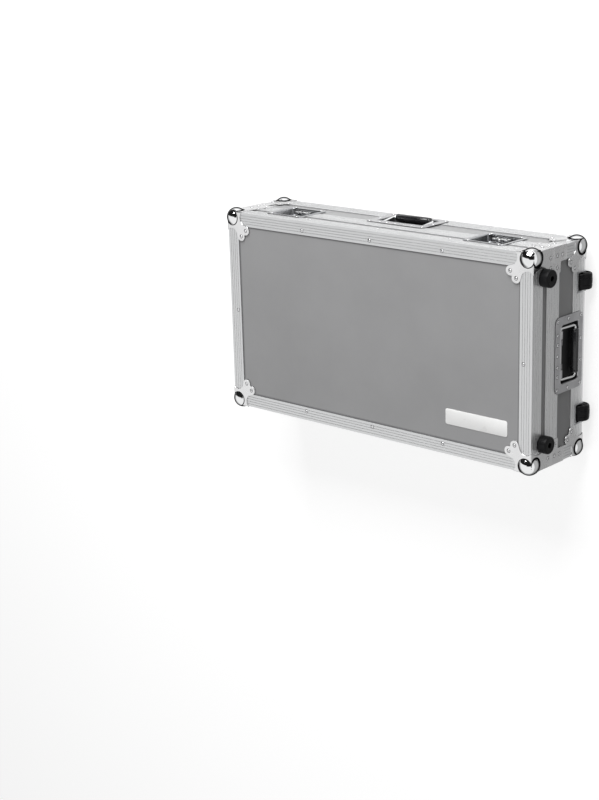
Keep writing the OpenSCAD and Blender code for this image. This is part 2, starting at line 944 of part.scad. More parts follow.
// A wing: a knuckle on the pin and two round lobes, folded flat and hanging down at rest
module latch_wing(direction) {
    knuckle_half = ear_inner - 0.3;
    color("gainsboro") at_latch(direction) translate([0, -rotor_drop, wing_axis]) difference() {
        union() {
            rotate([0, 90, 0]) cylinder(d = wing_knuckle, h = 2 * knuckle_half, center = true);
            translate([0, 0, -wing_thickness / 2]) linear_extrude(wing_thickness) {
                translate([-knuckle_half, -8]) square([2 * knuckle_half, 8]);
                translate([-wing_lobe_x, -wing_lobe_y - 4]) square([2 * wing_lobe_x, 8]);
                for (x = [-1, 1])
                    translate([x * wing_lobe_x, -wing_lobe_y]) circle(wing_lobe_radius);
            }
        }
        rotate([0, 90, 0]) cylinder(d = wing_pin + 0.1, h = 40, center = true);
        for (x = [-1, 1])
            translate([x * wing_lobe_x, -wing_lobe_y, -5]) cylinder(r = 3.5, h = 10);
    }
}

module left_latch_wing() {
    latch_wing(-1);
}

module right_latch_wing() {
    latch_wing(1);
}

// ---- handles ----

// A plate outline with round corners
module rounded_plate(half_width, half_height, corner) {
    square([2 * half_width, 2 * (half_height - corner)], center = true);
    square([2 * (half_width - corner), 2 * half_height], center = true);
    for (x = [-1, 1], y = [-1, 1])
        translate([x * (half_width - corner), y * (half_height - corner)]) circle(corner);
}

// A pressed handle dish: a riveted plate, a recess, and two tubes for the ends of the bail
module handle_dish(side) {
    pan_x = grab_half_length + pan_wall;
    middle = -handle_top - handle_height / 2;
    color("silver") at_handle(side) {
        difference() {
            union() {
                translate([0, middle, 0]) linear_extrude(plate_thickness)
                    rounded_plate(handle_half_length, handle_height / 2, handle_corner);
                block([-pan_x, -grab_bottom - pan_wall, -grab_depth - pan_wall],
                    [pan_x, -grab_top + pan_wall, 0]);
            }
            block([-grab_half_length, -grab_bottom, -grab_depth],
                [grab_half_length, -grab_top, plate_thickness + 1]);
        }
        for (x = [-1, 1])
            translate([x * (pivot_outer + pivot_inner) / 2, -bail_axis_top, bail_axis_depth])
                rotate([0, 90, 0]) difference() {
                    union() {
                        cylinder(r = pivot_radius, h = pivot_outer - pivot_inner, center = true);
                        translate([0, 0, -(pivot_outer - pivot_inner) / 2])
                            block([-0.5, 0, 0], [grab_depth + bail_axis_depth, pivot_radius - 0.5,
                                pivot_outer - pivot_inner]);
                    }
                    cylinder(d = bail_wire + 0.1, h = 60, center = true);
                }
    }
}

module front_handle_dish() {
    handle_dish(SIDES[0]);
}

module wheel_end_handle_dish() {
    handle_dish(SIDES[3]);
}

module handle_end_handle_dish() {
    handle_dish(SIDES[2]);
}

// The return springs, coiled round the ends of the bails
module handle_springs() {
    pitch = spring_wire * 0.94;
    color("dimgray") for (i = [0, 2, 3], x = [-1, 1])
        at_handle(SIDES[i]) translate([x * (pivot_inner - 1 - spring_turns * pitch / 2), -bail_axis_top,
            bail_axis_depth]) rotate([0, 90, 0]) rotate_extrude()
                for (turn = [0:spring_turns - 1])
                    translate([spring_radius, (turn - (spring_turns - 1) / 2) * pitch])
                        circle(d = spring_wire, $fn = 24);
}

// A wire bail in its own frame: its pivot rod along x, its arms along -y
module bail() {
    wire_radius = bail_wire / 2;
    color("lightgray") for (x = [0, 1])
        mirror([x, 0, 0]) {
            rotate([0, 90, 0]) cylinder(r = wire_radius, h = bail_half_width);
            translate([bail_half_width, 0, 0]) sphere(wire_radius);
            translate([bail_half_width, 0, 0]) rotate([90, 0, 0])
                cylinder(r = wire_radius, h = bail_arm - bail_bend);
            translate([bail_half_width - bail_bend, -bail_arm + bail_bend, 0]) rotate([0, 0, -90])
                rotate_extrude(angle = 90) translate([bail_bend, 0]) circle(wire_radius);
            translate([0, -bail_arm, 0]) rotate([0, 90, 0])
                cylinder(r = wire_radius, h = bail_half_width - bail_bend);
        }
}

// Places a bail or its grip on its handle at rest, lying in the recess with the grip standing proud
module at_bail(side) {
    at_handle(side) translate([0, -bail_axis_top, bail_axis_depth]) rotate([-bail_angle, 0, 0]) children();
}

module front_handle_bail() {
    at_bail(SIDES[0]) bail();
}

module wheel_end_handle_bail() {
    at_bail(SIDES[3]) bail();
}

module handle_end_handle_bail() {
    at_bail(SIDES[2]) bail();
}

// A rubber grip round the bail
module grip() {
    round = 2;
    color("#151515") translate([0, -bail_arm, 0]) rotate([0, 90, 0]) rotate_extrude()
        polygon([
            [bail_wire / 2, -grip_half_length], [grip_diameter / 2 - round, -grip_half_length],
            [grip_diameter / 2, -grip_half_length + round], [grip_diameter / 2, grip_half_length - round],
            [grip_diameter / 2 - round, grip_half_length], [bail_wire / 2, grip_half_length]
        ]);
}

module front_handle_grip() {
    at_bail(SIDES[0]) grip();
}

module wheel_end_handle_grip() {
    at_bail(SIDES[3]) grip();
}

module handle_end_handle_grip() {
    at_bail(SIDES[2]) grip();
}

// ---- hinges ----

// A frame at each hinge on the rear, x along the pin, y up from the pin, z outwards
module at_hinges() {
    for (x = [-hinge_offset, hinge_offset])
        on_side(SIDES[1]) translate([x, seam_z, 0]) children();
}

// A hinge leaf: a plate on the rear face and the knuckles given by their ends along the pin
module hinge_leaf(up, knuckles) {
    color("lightgray") difference() {
        union() {
            mirror([0, 1 - up, 0])
                block([-hinge_half, hinge_radius, 0], [hinge_half, leaf_height, leaf_thickness]);
            for (k = knuckles) {
                translate([k[0], 0, hinge_axis_out]) rotate([0, 90, 0])
                    cylinder(r = hinge_radius, h = k[1] - k[0]);
                mirror([0, 1 - up, 0]) block([k[0], 0, 1.2], [k[1], hinge_radius + 1, 1.2 + leaf_thickness]);
            }
        }
        translate([0, 0, hinge_axis_out]) rotate([0, 90, 0])
            cylinder(d = hinge_pin + (up > 0 ? 0.1 : 0), h = 2 * hinge_half + 2, center = true);
    }
}

module hinge_base_leaves() {
    at_hinges() hinge_leaf(0, [[-hinge_half, -hinge_split - gap], [hinge_split + gap, hinge_half]]);
}

module hinge_lid_leaves() {
    at_hinges() hinge_leaf(1, [[-hinge_split, hinge_split]]);
}

module hinge_pins() {
    color("silver") at_hinges() translate([0, 0, hinge_axis_out]) rotate([0, 90, 0])
        cylinder(d = hinge_pin, h = 2 * hinge_half, center = true);
}

// ---- lid shell ----

module lid_top_panel() {
    color("gray") difference() {
        block([-half_length + panel_inset, -half_depth + panel_inset, top_z - panel_back],
            [half_length - panel_inset, half_depth - panel_inset, top_z - panel_inset]);
        ball_rooms();
    }
}

module lid_side_panels() {
    color("gray") difference() {
        for (side = SIDES) {
            is_end = side[1] == half_length;
            length = is_end ? case_depth - 2 * (rim_depth + joint) : case_length - 2 * panel_inset;
            on_side(side)
                block([-length / 2, seam_z + rim_web, -panel_back],
                    [length / 2, top_z - panel_back, -panel_inset]);
        }
        latch_cut(-pan_down, pan_up + pan_wall + gap);
        ball_rooms();
    }
}

module lid_top_edging() {
    color("silver") difference() {
        edge_frame(top_z, lid_edge_height, 1);
        ball_rooms();
    }
}

module lid_corner_edging() {
    color("silver") upright_edging(seam_z + rim_height, top_z - lid_edge_height);
}

// The closing sections of the lid, with a tongue that drops into the base's groove
module lid_rim_edging() {
    color("silver") difference() {
        for (side = SIDES) {
            is_end = side[1] == half_length;
            inner = case_depth - 2 * (rim_depth + joint);
            on_side(side) {
                bar(is_end ? inner : case_length) {
                    ribbed_strip(seam_z + seam_gap, seam_z + rim_height, edging_thickness);
                    translate([seam_z + seam_gap, -rim_depth]) square([rim_web - seam_gap, panel_back]);
                    translate([seam_z + rim_web, -rim_depth])
                        square([rim_inner_leg - rim_web, edging_thickness]);
                }
                bar(is_end ? inner : case_length - 2 * tongue_inset)
                    translate([seam_z - tongue_height, -tongue_inset - tongue_width])
                        square([tongue_height + 1, tongue_width]);
            }
        }
        latch_cut(-pan_down, pan_up);
    }
}

// A bare plate where a maker would put a name
module name_plate() {
    color("white") translate([plate_x, plate_y, top_z - panel_inset]) linear_extrude(plate_height)
        rounded_plate(plate_length / 2, plate_width / 2, plate_corner);
}

placed() base_floor();
placed() base_front_panel();
placed() base_rear_panel();
placed() base_wheel_end_panel();
placed() base_handle_end_panel();
placed() base_bottom_edging();
placed() base_corner_edging();
placed() base_rim_edging();
placed() base_ball_corners();
placed() base_corner_braces();
placed() base_rivets();
placed() base_floor_pad();
placed() base_wall_pads();
placed() floor_feet();
placed() floor_foot_screws();
placed() front_wheel_housing();
placed() rear_wheel_housing();
placed() wheel_axles();
placed() front_wheel();
placed() rear_wheel();
placed() left_latch_base_dish();
placed() right_latch_base_dish();
placed() latch_claw_pins();
placed() left_latch_rotor();
placed() right_latch_rotor();
placed() left_latch_wing_pin();
placed() right_latch_wing_pin();
placed() left_latch_wing();
placed() right_latch_wing();
placed() left_latch_claw();
placed() right_latch_claw();
placed() front_handle_dish();
placed() wheel_end_handle_dish();
placed() handle_end_handle_dish();
placed() handle_springs();
placed() front_handle_bail();
placed() wheel_end_handle_bail();
placed() handle_end_handle_bail();
placed() front_handle_grip();
placed() wheel_end_handle_grip();
placed() handle_end_handle_grip();
placed() hinge_base_leaves();
placed() hinge_pins();
placed() hinge_lid_leaves();
placed() lid_top_panel();
placed() lid_side_panels();
placed() lid_top_edging();
placed() lid_corner_edging();
placed() lid_rim_edging();
placed() lid_ball_corners();
placed() lid_rivets();
placed() lid_pad();
placed() left_latch_lid_dish();
placed() right_latch_lid_dish();
placed() latch_keepers();
placed() end_feet();
placed() end_foot_screws();
placed() name_plate();
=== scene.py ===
from math import atan, copysign, cos, hypot, pi, radians, sin

import bmesh
import bpy
from mathutils import Matrix, Vector


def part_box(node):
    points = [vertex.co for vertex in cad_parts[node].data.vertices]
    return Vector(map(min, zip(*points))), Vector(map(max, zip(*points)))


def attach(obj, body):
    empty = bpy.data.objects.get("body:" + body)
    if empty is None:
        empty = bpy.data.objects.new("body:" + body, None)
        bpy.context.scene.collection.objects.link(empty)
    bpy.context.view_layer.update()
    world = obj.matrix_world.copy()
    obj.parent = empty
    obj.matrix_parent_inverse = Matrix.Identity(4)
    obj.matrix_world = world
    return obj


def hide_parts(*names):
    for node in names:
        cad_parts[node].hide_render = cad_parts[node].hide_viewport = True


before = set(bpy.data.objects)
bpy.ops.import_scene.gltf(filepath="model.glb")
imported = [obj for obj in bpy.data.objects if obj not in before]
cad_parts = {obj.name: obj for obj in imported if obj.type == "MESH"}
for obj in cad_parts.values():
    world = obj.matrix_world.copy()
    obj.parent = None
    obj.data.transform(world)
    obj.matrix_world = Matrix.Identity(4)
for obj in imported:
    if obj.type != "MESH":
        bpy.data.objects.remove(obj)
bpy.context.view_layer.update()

# ---- Camera ----
# The case lies flat with its lid on top, as it does when its lid is opened. The photograph shows it stood on
# its hinge side, so the camera hangs over the lid and is turned until the latch side is at the top.
MM = 0.001


def new_object(name, data):
    """An object in the scene for a mesh, a lamp or a camera."""
    made = bpy.data.objects.new(name, data)
    bpy.context.scene.collection.objects.link(made)
    return made


camera_turn = radians(42.619)
camera_rise = radians(16.606)
camera_roll = radians(-1.641)
focal_length = 75.85
film_width = 36
camera_reach = 60
from_middle = (-2.3844, -0.9555)
camera_height = 3.056
back = Vector((-sin(camera_turn) * cos(camera_rise), -sin(camera_rise), cos(camera_turn) * cos(camera_rise)))
level = Vector((-cos(camera_turn), 0, -sin(camera_turn)))
right = cos(camera_roll) * level + sin(camera_roll) * back.cross(level)
lens = bpy.data.cameras.new("camera")
lens.lens = focal_length
lens.sensor_width = film_width
lens.clip_end = camera_reach
camera = new_object("camera", lens)
case_low, case_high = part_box("lid_top_edging")
case_low.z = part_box("base_bottom_edging")[0].z
case_middle = (case_low + case_high) / 2
camera_place = Vector((case_middle.x + from_middle[0], case_middle.y + from_middle[1], camera_height))
turned_frame = Matrix((right, back.cross(right), back)).transposed().to_4x4()
camera.matrix_world = Matrix.Translation(camera_place) @ turned_frame
bpy.context.scene.camera = camera
bpy.context.scene.view_settings.view_transform = "Standard"


# ---- Studio ----
# A white sweep under the case and white all round it, a large soft key lamp on the latch side, a weaker lamp
# over the lid, and grey and dark screens that only mirrors see, as round a polished object.
def add_node(tree, kind, inputs=None, **settings):
    """A node of a tree, with its settings, and each input given a value or the socket that feeds it. A
    shader node's kind is short."""
    node = tree.nodes.new(kind if "Node" in kind else "ShaderNode" + kind)
    for name, value in settings.items():
        setattr(node, name, value)
    for socket, value in (inputs or {}).items():
        if isinstance(value, bpy.types.NodeSocket):
            tree.links.new(value, node.inputs[socket])
        else:
            node.inputs[socket].default_value = value
    return node


def maths(tree, operation, first, second=0.0):
    """The result of a sum with one or two numbers."""
    return add_node(tree, "Math", {0: first, 1: second}, operation=operation).outputs[0]


def mapped(tree, value, low=0.0, high=1.0, to_low=0.0, to_high=1.0):
    """A value moved from one range to another and held inside it."""
    return add_node(tree, "MapRange", {0: value, 1: low, 2: high, 3: to_low, 4: to_high}).outputs[0]


def seen_directly(tree):
    """1 for a ray from the camera, a mirror or glass, and 0 where it only carries light."""
    path = add_node(tree, "LightPath").outputs
    seen = maths(tree, "MAXIMUM", path["Is Camera Ray"], path["Is Glossy Ray"])
    return maths(tree, "MAXIMUM", seen, path["Is Transmission Ray"])


def empty_finish(name):
    """A material without nodes, and its tree."""
    finish = bpy.data.materials.new(name)
    finish.use_nodes = True
    finish.node_tree.nodes.clear()
    return finish, finish.node_tree


def flat_card(name, corners, finish):
    """A sheet of the studio with four corners."""
    sheet = bpy.data.meshes.new(name)
    sheet.from_pydata(corners, [], [(0, 1, 2, 3)])
    sheet.materials.append(finish)
    return new_object(name, sheet)


white = (1, 1, 1, 1)
room_light = 0.19
world = bpy.data.worlds.new("white_room")
world.use_nodes = True
room = world.node_tree
room.nodes.clear()
strength = mapped(room, seen_directly(room), to_low=room_light)
shine = add_node(room, "Background", {"Color": white, "Strength": strength})
add_node(room, "OutputWorld", {"Surface": shine.outputs[0]})
bpy.context.scene.world = world

floor_half = 15.0
floor_glow = 0.735
floor_grey = (0.4, 0.4, 0.4, 1)
sweep_finish, sweep = empty_finish("white_sweep")
glow = maths(sweep, "MULTIPLY", seen_directly(sweep), floor_glow)
paint = add_node(sweep, "BsdfDiffuse", {"Color": floor_grey})
lit = add_node(sweep, "Emission", {"Color": white, "Strength": glow})
both = add_node(sweep, "AddShader", {0: paint.outputs[0], 1: lit.outputs[0]})
add_node(sweep, "OutputMaterial", {"Surface": both.outputs[0]})
card_signs = ((-1, -1), (1, -1), (1, 1), (-1, 1))
flat_card("floor", [(x * floor_half, y * floor_half, 0) for x, y in card_signs], sweep_finish)


def soft_lamp(name, place, aim, size, watts, mirrored=True):
    """A square soft lamp at a place, turned towards a point."""
    light = bpy.data.lights.new(name, "AREA")
    light.shape = "SQUARE"
    light.size = size
    light.energy = watts
    lamp = new_object(name, light)
    lamp.visible_glossy = mirrored
    away = Vector(place) - Vector(aim)
    lamp.matrix_world = Matrix.Translation(place) @ away.to_track_quat("Z", "Y").to_matrix().to_4x4()


soft_lamp("key_lamp", (-0.2, -2.7, 1.6), (0, 0, 0.1), 2.3, 150)
soft_lamp("lid_lamp", (-0.15, 0.3, 2.7), (-0.05, 0.1, 0.2), 1.4, 21, False)


def mirror_screen(name, place, aim, width, height, brightness):
    """A dark or grey card that only reflections see. Its height runs towards the latch side."""
    finish, tree = empty_finish(name)
    tone = add_node(tree, "Emission", {"Color": white, "Strength": brightness})
    add_node(tree, "OutputMaterial", {"Surface": tone.outputs[0]})
    place, ahead = Vector(place), Vector(aim) - Vector(place)
    across = ahead.cross(Vector((0, -1, 0))).normalized()
    upright = across.cross(ahead).normalized()
    corners = [place + across * x * width / 2 + upright * y * height / 2 for x, y in card_signs]
    screen = flat_card(name, corners, finish)
    for ray in ("camera", "diffuse", "shadow", "transmission", "volume_scatter"):
        setattr(screen, f"visible_{ray}", False)


mirror_screen("screen_behind_camera", (-3.0, -1.5, 3.9), (0, 0, 0.1), 5.2, 3.4, 0.012)
mirror_screen("screen_at_wheel_end", (-1.5, 0.1, 0.012), (-1.5, 0.1, 1.0), 2.1, 2.6, 0.49)
mirror_screen("dark_wall", (2.6, -2.5, 3.9), (0, 0, 0.1), 12.0, 3.6, 0.015)
mirror_screen("dark_ceiling", (0.8, -5.0, 0.6), (0, 0, 0.1), 14.0, 10.0, 0.015)


# ---- Laminated panels ----
# Plywood boards 9 mm thick with a grey plastic laminate pressed on both faces. They slide into the aluminium
# sections, and a thin line of painted shade follows each section's edge.
def new_group(name, inputs, outputs):
    """An empty shader group with named inputs, each with its default, and named outputs."""
    tree = bpy.data.node_groups.new(name, "ShaderNodeTree")
    kinds = {float: "NodeSocketFloat", tuple: "NodeSocketVector"}
    for label, value in inputs.items():
        socket = tree.interface.new_socket(label, in_out="INPUT", socket_type=kinds[type(value)])
        socket.default_value = value
    for label, kind in outputs.items():
        tree.interface.new_socket(label, in_out="OUTPUT", socket_type=kinds[kind])
    return tree, add_node(tree, "NodeGroupInput").outputs


def use_group(tree, group, inputs):
    """The outputs of a shader group that is placed in a material."""
    return add_node(tree, "Group", inputs, node_tree=group).outputs


def vector_maths(tree, operation, first, second=(0, 0, 0)):
    """The outputs of a sum with one or two vectors."""
    return add_node(tree, "VectorMath", {0: first, 1: second}, operation=operation).outputs


def noise(tree, place, scale, detail=3.0, roughness=0.5):
    """A soft random pattern."""
    inputs = {"Vector": place, "Scale": scale, "Detail": detail, "Roughness": roughness}
    return add_node(tree, "TexNoise", inputs).outputs[0]


def mix_colour(tree, mask, low, high, blend="MIX"):
    """A colour between two, by a mask."""
    low, high = (end if isinstance(end, bpy.types.NodeSocket) else (*end, 1) for end in (low, high))
    ends = {"Factor": mask, 6: low, 7: high}
    return add_node(tree, "Mix", ends, data_type="RGBA", blend_type=blend).outputs[2]


def mix_value(tree, mask, low, high):
    """A number between two, by a mask."""
    return add_node(tree, "Mix", {"Factor": mask, 2: low, 3: high}).outputs[0]


def tinted(colour, factor):
    """A colour made darker or lighter."""
    return tuple(min(c * factor, 0.97) for c in colour)


def new_finish(name, roughness, metallic=0.0, specular=0.5):
    """A material with one shader, and the place on the piece that its patterns read."""
    finish, tree = empty_finish(name)
    shader = add_node(tree, "BsdfPrincipled",
                      {"Roughness": roughness, "Metallic": metallic, "Specular IOR Level": specular})
    add_node(tree, "OutputMaterial", {"Surface": shader.outputs[0]})
    return finish, tree, shader, add_node(tree, "TexCoord").outputs["Object"]


def dress(tree, shader, colour, roughness, height, strength, distance, normal=None):
    """Feeds a shader its colour, its roughness and the relief of its surface."""
    relief = {"Height": height, "Strength": strength, "Distance": distance}
    if normal:
        relief["Normal"] = normal
    relief = add_node(tree, "Bump", relief).outputs[0]
    for name, value in (("Base Color", colour), ("Roughness", roughness), ("Normal", relief)):
        if value:
            tree.links.new(value, shader.inputs[name])


# Handling marks: broad cloudy patches with fine specks
smudges, given = new_group("smudges", {"Vector": (0.0, 0.0, 0.0), "Size": 6.0}, {"Amount": float})
cloud = noise(smudges, given["Vector"], given["Size"], 5.0, 0.6)
add_node(smudges, "NodeGroupOutput", {"Amount": mapped(smudges, cloud, 0.32, 0.7)})

# Wear along edges: where the surface turns, with a rounded normal that catches the light
worn_edges, given = new_group("worn_edges", {"Width": 0.0006}, {"Edge": float, "Normal": tuple})
round_normal = add_node(worn_edges, "Bevel", {"Radius": given["Width"]}, samples=4).outputs[0]
flat_normal = add_node(worn_edges, "NewGeometry").outputs["Normal"]
agreement = vector_maths(worn_edges, "DOT_PRODUCT", round_normal, flat_normal)["Value"]
add_node(worn_edges, "NodeGroupOutput", {"Edge": mapped(worn_edges, agreement, 0.995, 0.8),
                                         "Normal": round_normal})


def handled(tree, place, size):
    """The mask of the handling marks on a piece, with patches of a given fineness."""
    return use_group(tree, smudges, {"Vector": place, "Size": size})["Amount"]


case_half = (case_high - case_low) / 2
flange = 32 * MM


def from_case_middle(tree, place):
    """How far a place is from the middle of the case, on each axis."""
    offset = vector_maths(tree, "SUBTRACT", place, tuple(case_middle))[0]
    return vector_maths(tree, "ABSOLUTE", offset)[0]


def laminate(name, window, specular):
    """Grey laminate. Painted shade follows the edges of the window between the sections, given by its half
    sizes.
    """
    grey, painted_crease_shade = (0.245, 0.245, 0.248), (0.085, 0.085, 0.088)
    edge_shade_start, edge_shade_end = 0.5 * MM, 5.5 * MM
    finish, tree, shader, place = new_finish(name, 0.42, 0.0, specular)
    marks = handled(tree, place, 5.0)
    grain = noise(tree, place, 900.0)
    pores = add_node(tree, "TexVoronoi", {"Vector": place, "Scale": 620.0}, feature="SMOOTH_F1")
    room_left = vector_maths(tree, "SUBTRACT", window, from_case_middle(tree, place))[0]
    parts = add_node(tree, "SeparateXYZ", {0: room_left}).outputs
    nearest = maths(tree, "MINIMUM", maths(tree, "MINIMUM", parts[0], parts[1]), parts[2])
    # Painted shade: the panel darkens within a few millimetres of each section's edge.
    shade = mapped(tree, nearest, edge_shade_start, edge_shade_end, 1.0, 0.0)
    clean = mix_colour(tree, marks, tinted(grey, 0.94), tinted(grey, 1.05))
    dress(tree, shader, mix_colour(tree, shade, clean, painted_crease_shade), mapped(tree, marks, to_low=0.36, to_high=0.47),
          maths(tree, "ADD", grain, pores.outputs["Distance"]), 0.10, 0.0004)
    return finish


def set_finish(finish, *nodes):
    """Gives CAD nodes a finish."""
    for node in nodes:
        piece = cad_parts[node]
        piece.data.materials.clear()
        piece.data.materials.append(finish)


far = 5.0
set_finish(laminate("grey_laminate", (case_half.x - flange, case_half.y - flange, far), 0.5),
           "lid_top_panel", "base_floor")
set_finish(laminate("grey_laminate_sides", (far, far, far), 0.45), "lid_side_panels",
           "base_front_panel", "base_rear_panel", "base_wheel_end_panel", "base_handle_end_panel")


# ---- Aluminium sections ----
# Extruded sections with shallow grooves along their faces, pop riveted over the panels' edges. Die lines run
# along each bar, the bars' arrises are worn bright, and the grooves are darkened with painted shade.
die_lines, given = new_group("die_lines", {"Vector": (0.0, 0.0, 0.0), "Stretch": (1.0, 1.0, 1.0)},
                             {"Lines": float})
drawn = vector_maths(die_lines, "MULTIPLY", given["Vector"], given["Stretch"])[0]
lines = mapped(die_lines, noise(die_lines, drawn, 1.0, 4.0, 0.65), 0.3, 0.72)
add_node(die_lines, "NodeGroupOutput", {"Lines": lines})

along_x, along_y, along_z = (3.0, 700.0, 700.0), (700.0, 3.0, 700.0), (700.0, 700.0, 3.0)


def drawn_metal(name, directions):
    """Satin aluminium with lines along it. Two directions are split between the long and the end bars."""
    aluminium, bright = (0.67, 0.675, 0.68), (0.82, 0.82, 0.82)
    roughness, end_face_depth, mitre_play, groove_reach = 0.36, 2.1 * MM, 0.1 * MM, 1.4 * MM
    finish, tree, shader, place = new_finish(name, roughness, 1.0)
    lines, *across = (use_group(tree, die_lines, {"Vector": place, "Stretch": way})["Lines"]
                      for way in directions)
    if across:
        parts = add_node(tree, "SeparateXYZ", {0: from_case_middle(tree, place)}).outputs
        end_face = maths(tree, "GREATER_THAN", parts[0], case_half.x - end_face_depth)
        between = maths(tree, "LESS_THAN", parts[1], case_half.y - flange - mitre_play)
        lines = mix_value(tree, maths(tree, "MAXIMUM", end_face, between), lines, across[0])
    marks = handled(tree, place, 9.0)
    worn = use_group(tree, worn_edges, {"Width": 0.0005})
    body = mix_colour(tree, lines, tinted(aluminium, 0.9), aluminium)
    # Painted shade in the grooves: the less open sky a point sees, the darker its colour.
    open_sky = add_node(tree, "AmbientOcclusion", {"Distance": groove_reach}, samples=6, only_local=True)
    groove_shade = mapped(tree, open_sky.outputs["AO"], 0.62, 0.9, 1.0, 0.0)
    body = mix_colour(tree, groove_shade, body, tinted(aluminium, 0.35))
    dress(tree, shader, mix_colour(tree, worn["Edge"], body, bright),
          mapped(tree, maths(tree, "ADD", lines, marks), 0.0, 2.0, roughness - 0.05, roughness + 0.08),
          lines, 0.06, 0.0003, worn["Normal"])
    return finish


set_finish(drawn_metal("ribbed_aluminium", (along_x, along_y)),
           "lid_top_edging", "lid_rim_edging", "base_bottom_edging", "base_rim_edging")
set_finish(drawn_metal("upright_aluminium", (along_z,)), "lid_corner_edging", "base_corner_edging")


# ---- Ball corners and braces ----
# Pressed steel corners, plated bright. A ball is pushed out over the corner and runs into three flat plates
# with lobes and round notches, which are folded over the edges and riveted. L-shaped braces of the same steel
# stiffen the corners at the seam.
def make_piece(name, bm, finish, body, slot, *nodes, smooth=35):
    """A piece from a bmesh: shaded smooth up to an angle, riding on its body in place of its CAD nodes."""
    mesh = bpy.data.meshes.new(name)
    bm.to_mesh(mesh)
    bm.free()
    mesh.shade_smooth()
    mesh.set_sharp_from_angle(angle=radians(smooth))
    mesh.materials.append(finish)
    piece = new_object(name, mesh)
    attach(piece, body)
    if nodes:
        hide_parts(*nodes)
    return piece


def outward(bm):
    """Turns the faces of a bmesh outwards."""
    bmesh.ops.recalc_face_normals(bm, faces=bm.faces)


def corner_points(bm, place, points):
    """Points in millimetres, set in a place."""
    return [bm.verts.new(place @ (Vector(point) * MM)) for point in points]


def bridge(bm, rings):
    """Faces from each closed ring of points to the next. A ring of one point closes the form."""
    for low, high in zip(rings, rings[1:]):
        count = max(len(low), len(high))
        for i in range(count):
            j = (i + 1) % count
            face = low[i % len(low)], low[j % len(low)], high[j % len(high)], high[i % len(high)]
            bm.faces.new(list(dict.fromkeys(face)))


def arc(centre, radius, start, stop, count):
    """Points on an arc, with angles in degrees."""
    angles = (radians(start + (stop - start) * i / count) for i in range(count + 1))
    return [(centre[0] + radius * cos(a), centre[1] + radius * sin(a)) for a in angles]


def pressed_sheet(bm, outline, rim, place, folds=()):
    """A flat sheet with a formed rim. The outline runs anticlockwise, rim gives (inset, height) from the edge
    inwards, and folds are the axes (0 or 1) whose zero line is folded, where the edge has no inset."""
    tiny = 1e-6
    inwards = []
    for i, point in enumerate(outline):
        before, here, after = Vector(outline[i - 1]), Vector(point), Vector(outline[(i + 1) % len(outline)])
        inward = Vector((0, 0))
        for a, b in ((before, here), (here, after)):
            folded = any(abs(a[axis]) < tiny and abs(b[axis]) < tiny for axis in folds)
            if not folded and (b - a).length > tiny:
                along = (b - a).normalized()
                inward += Vector((-along.y, along.x))
        for axis in folds:
            if abs(here[axis]) < tiny:
                inward[axis] = 0
        inwards.append(inward.normalized() if inward.length > tiny else Vector((0, 0)))
    loops = [corner_points(bm, place, [(p[0] + w.x * inset, p[1] + w.y * inset, height)
                                       for p, w in zip(outline, inwards)]) for inset, height in rim]
    bridge(bm, loops)
    bm.faces.new(loops[-1])


# One half of a lobed plate's edge, from the fold to the diagonal
lobe_centre, lobe_radius = (57, 42), 11
notch_centre, notch_radius = (57, 12), 17.5
valley_centre, valley_radius = (55.05, 55.05), 2.2
half_edge = (arc(notch_centre, notch_radius, 223.3, 97, 16) + arc(lobe_centre, lobe_radius, -78, 98.5, 20)
             + arc(valley_centre, valley_radius, -81.5, -130, 4))
half_edge[0] = (half_edge[0][0], 0)
plate_tip = 7.6
lobe_outline = [(0, plate_tip), (plate_tip, 0)] + half_edge + [(v, u) for u, v in reversed(half_edge)]

lid_depth = 73.7
arch = [(45 - 8 * (1 - (i / 8 - 1) ** 2), 25 + (i / 8 - 1) * 22) for i in range(17)]
seam_outline = ([(0, plate_tip), (plate_tip, 0), (45.6, 0)] + arch
                + [(46.5, 62), (50, lid_depth), (0, lid_depth)])

lip = [(0, 0), (0, 1.1), (0.25, 1.55), (0.8, 1.72), (1.4, 1.62), (2.0, 1.5)]
plain_edge = [(0, 0), (0, 1.0), (0.2, 1.36), (0.6, 1.5)]
brace_height = 47.7
brace_outline = ([(0, 0)] + arc((54.5, 2.5), 2.5, -90, 0, 4) + arc((54.5, 22.5), 2.5, 0, 90, 4)
                 + arc((36.5, 28.5), 3.5, -90, -180, 5) + arc((30.5, 45.2), 2.5, 0, 90, 4)
                 + [(0, brace_height)])

levels = {"base": case_low.z, "lid": case_high.z}
seam_level = case_low.z + 122 * MM
seam_gap = 0.3 * MM


def corner_places(level, down):
    """Each of the four corners at a level: x and y inwards along the case, z up, or down from the lid."""
    for x in (-1, 1):
        for y in (-1, 1):
            corner = (case_middle.x + x * case_half.x, case_middle.y + y * case_half.y, level)
            yield Matrix.Translation(corner) @ Matrix.Diagonal((-x, -y, -1 if down else 1, 1))


# The faces of a corner: their own u and v run inwards from the fold, and the height outwards
flat_face = Matrix(((1, 0, 0, 0), (0, 1, 0, 0), (0, 0, -1, 0), (0, 0, 0, 1)))
long_face = Matrix(((1, 0, 0, 0), (0, 0, -1, 0), (0, 1, 0, 0), (0, 0, 0, 1)))
short_face = Matrix(((0, 0, -1, 0), (1, 0, 0, 0), (0, 1, 0, 0), (0, 0, 0, 1)))
fold_radius, fold_steps = 1.5, 6


def folded_edge(bm, place, axis, length, start=0.0):
    """The quarter round where a plate is folded over a corner's edge, along one axis."""
    first, second = (i for i in range(3) if i != axis)
    rings = []
    for at in (start, length):
        points = [Vector() for _ in range(fold_steps + 1)]
        for i, point in enumerate(points):
            a = pi / 2 * i / fold_steps
            point[axis], point[first], point[second] = at, -fold_radius * cos(a), -fold_radius * sin(a)
        rings.append(corner_points(bm, place, points))
    low, high = rings
    for i in range(fold_steps):
        bm.faces.new((low[i], low[i + 1], high[i + 1], high[i]))


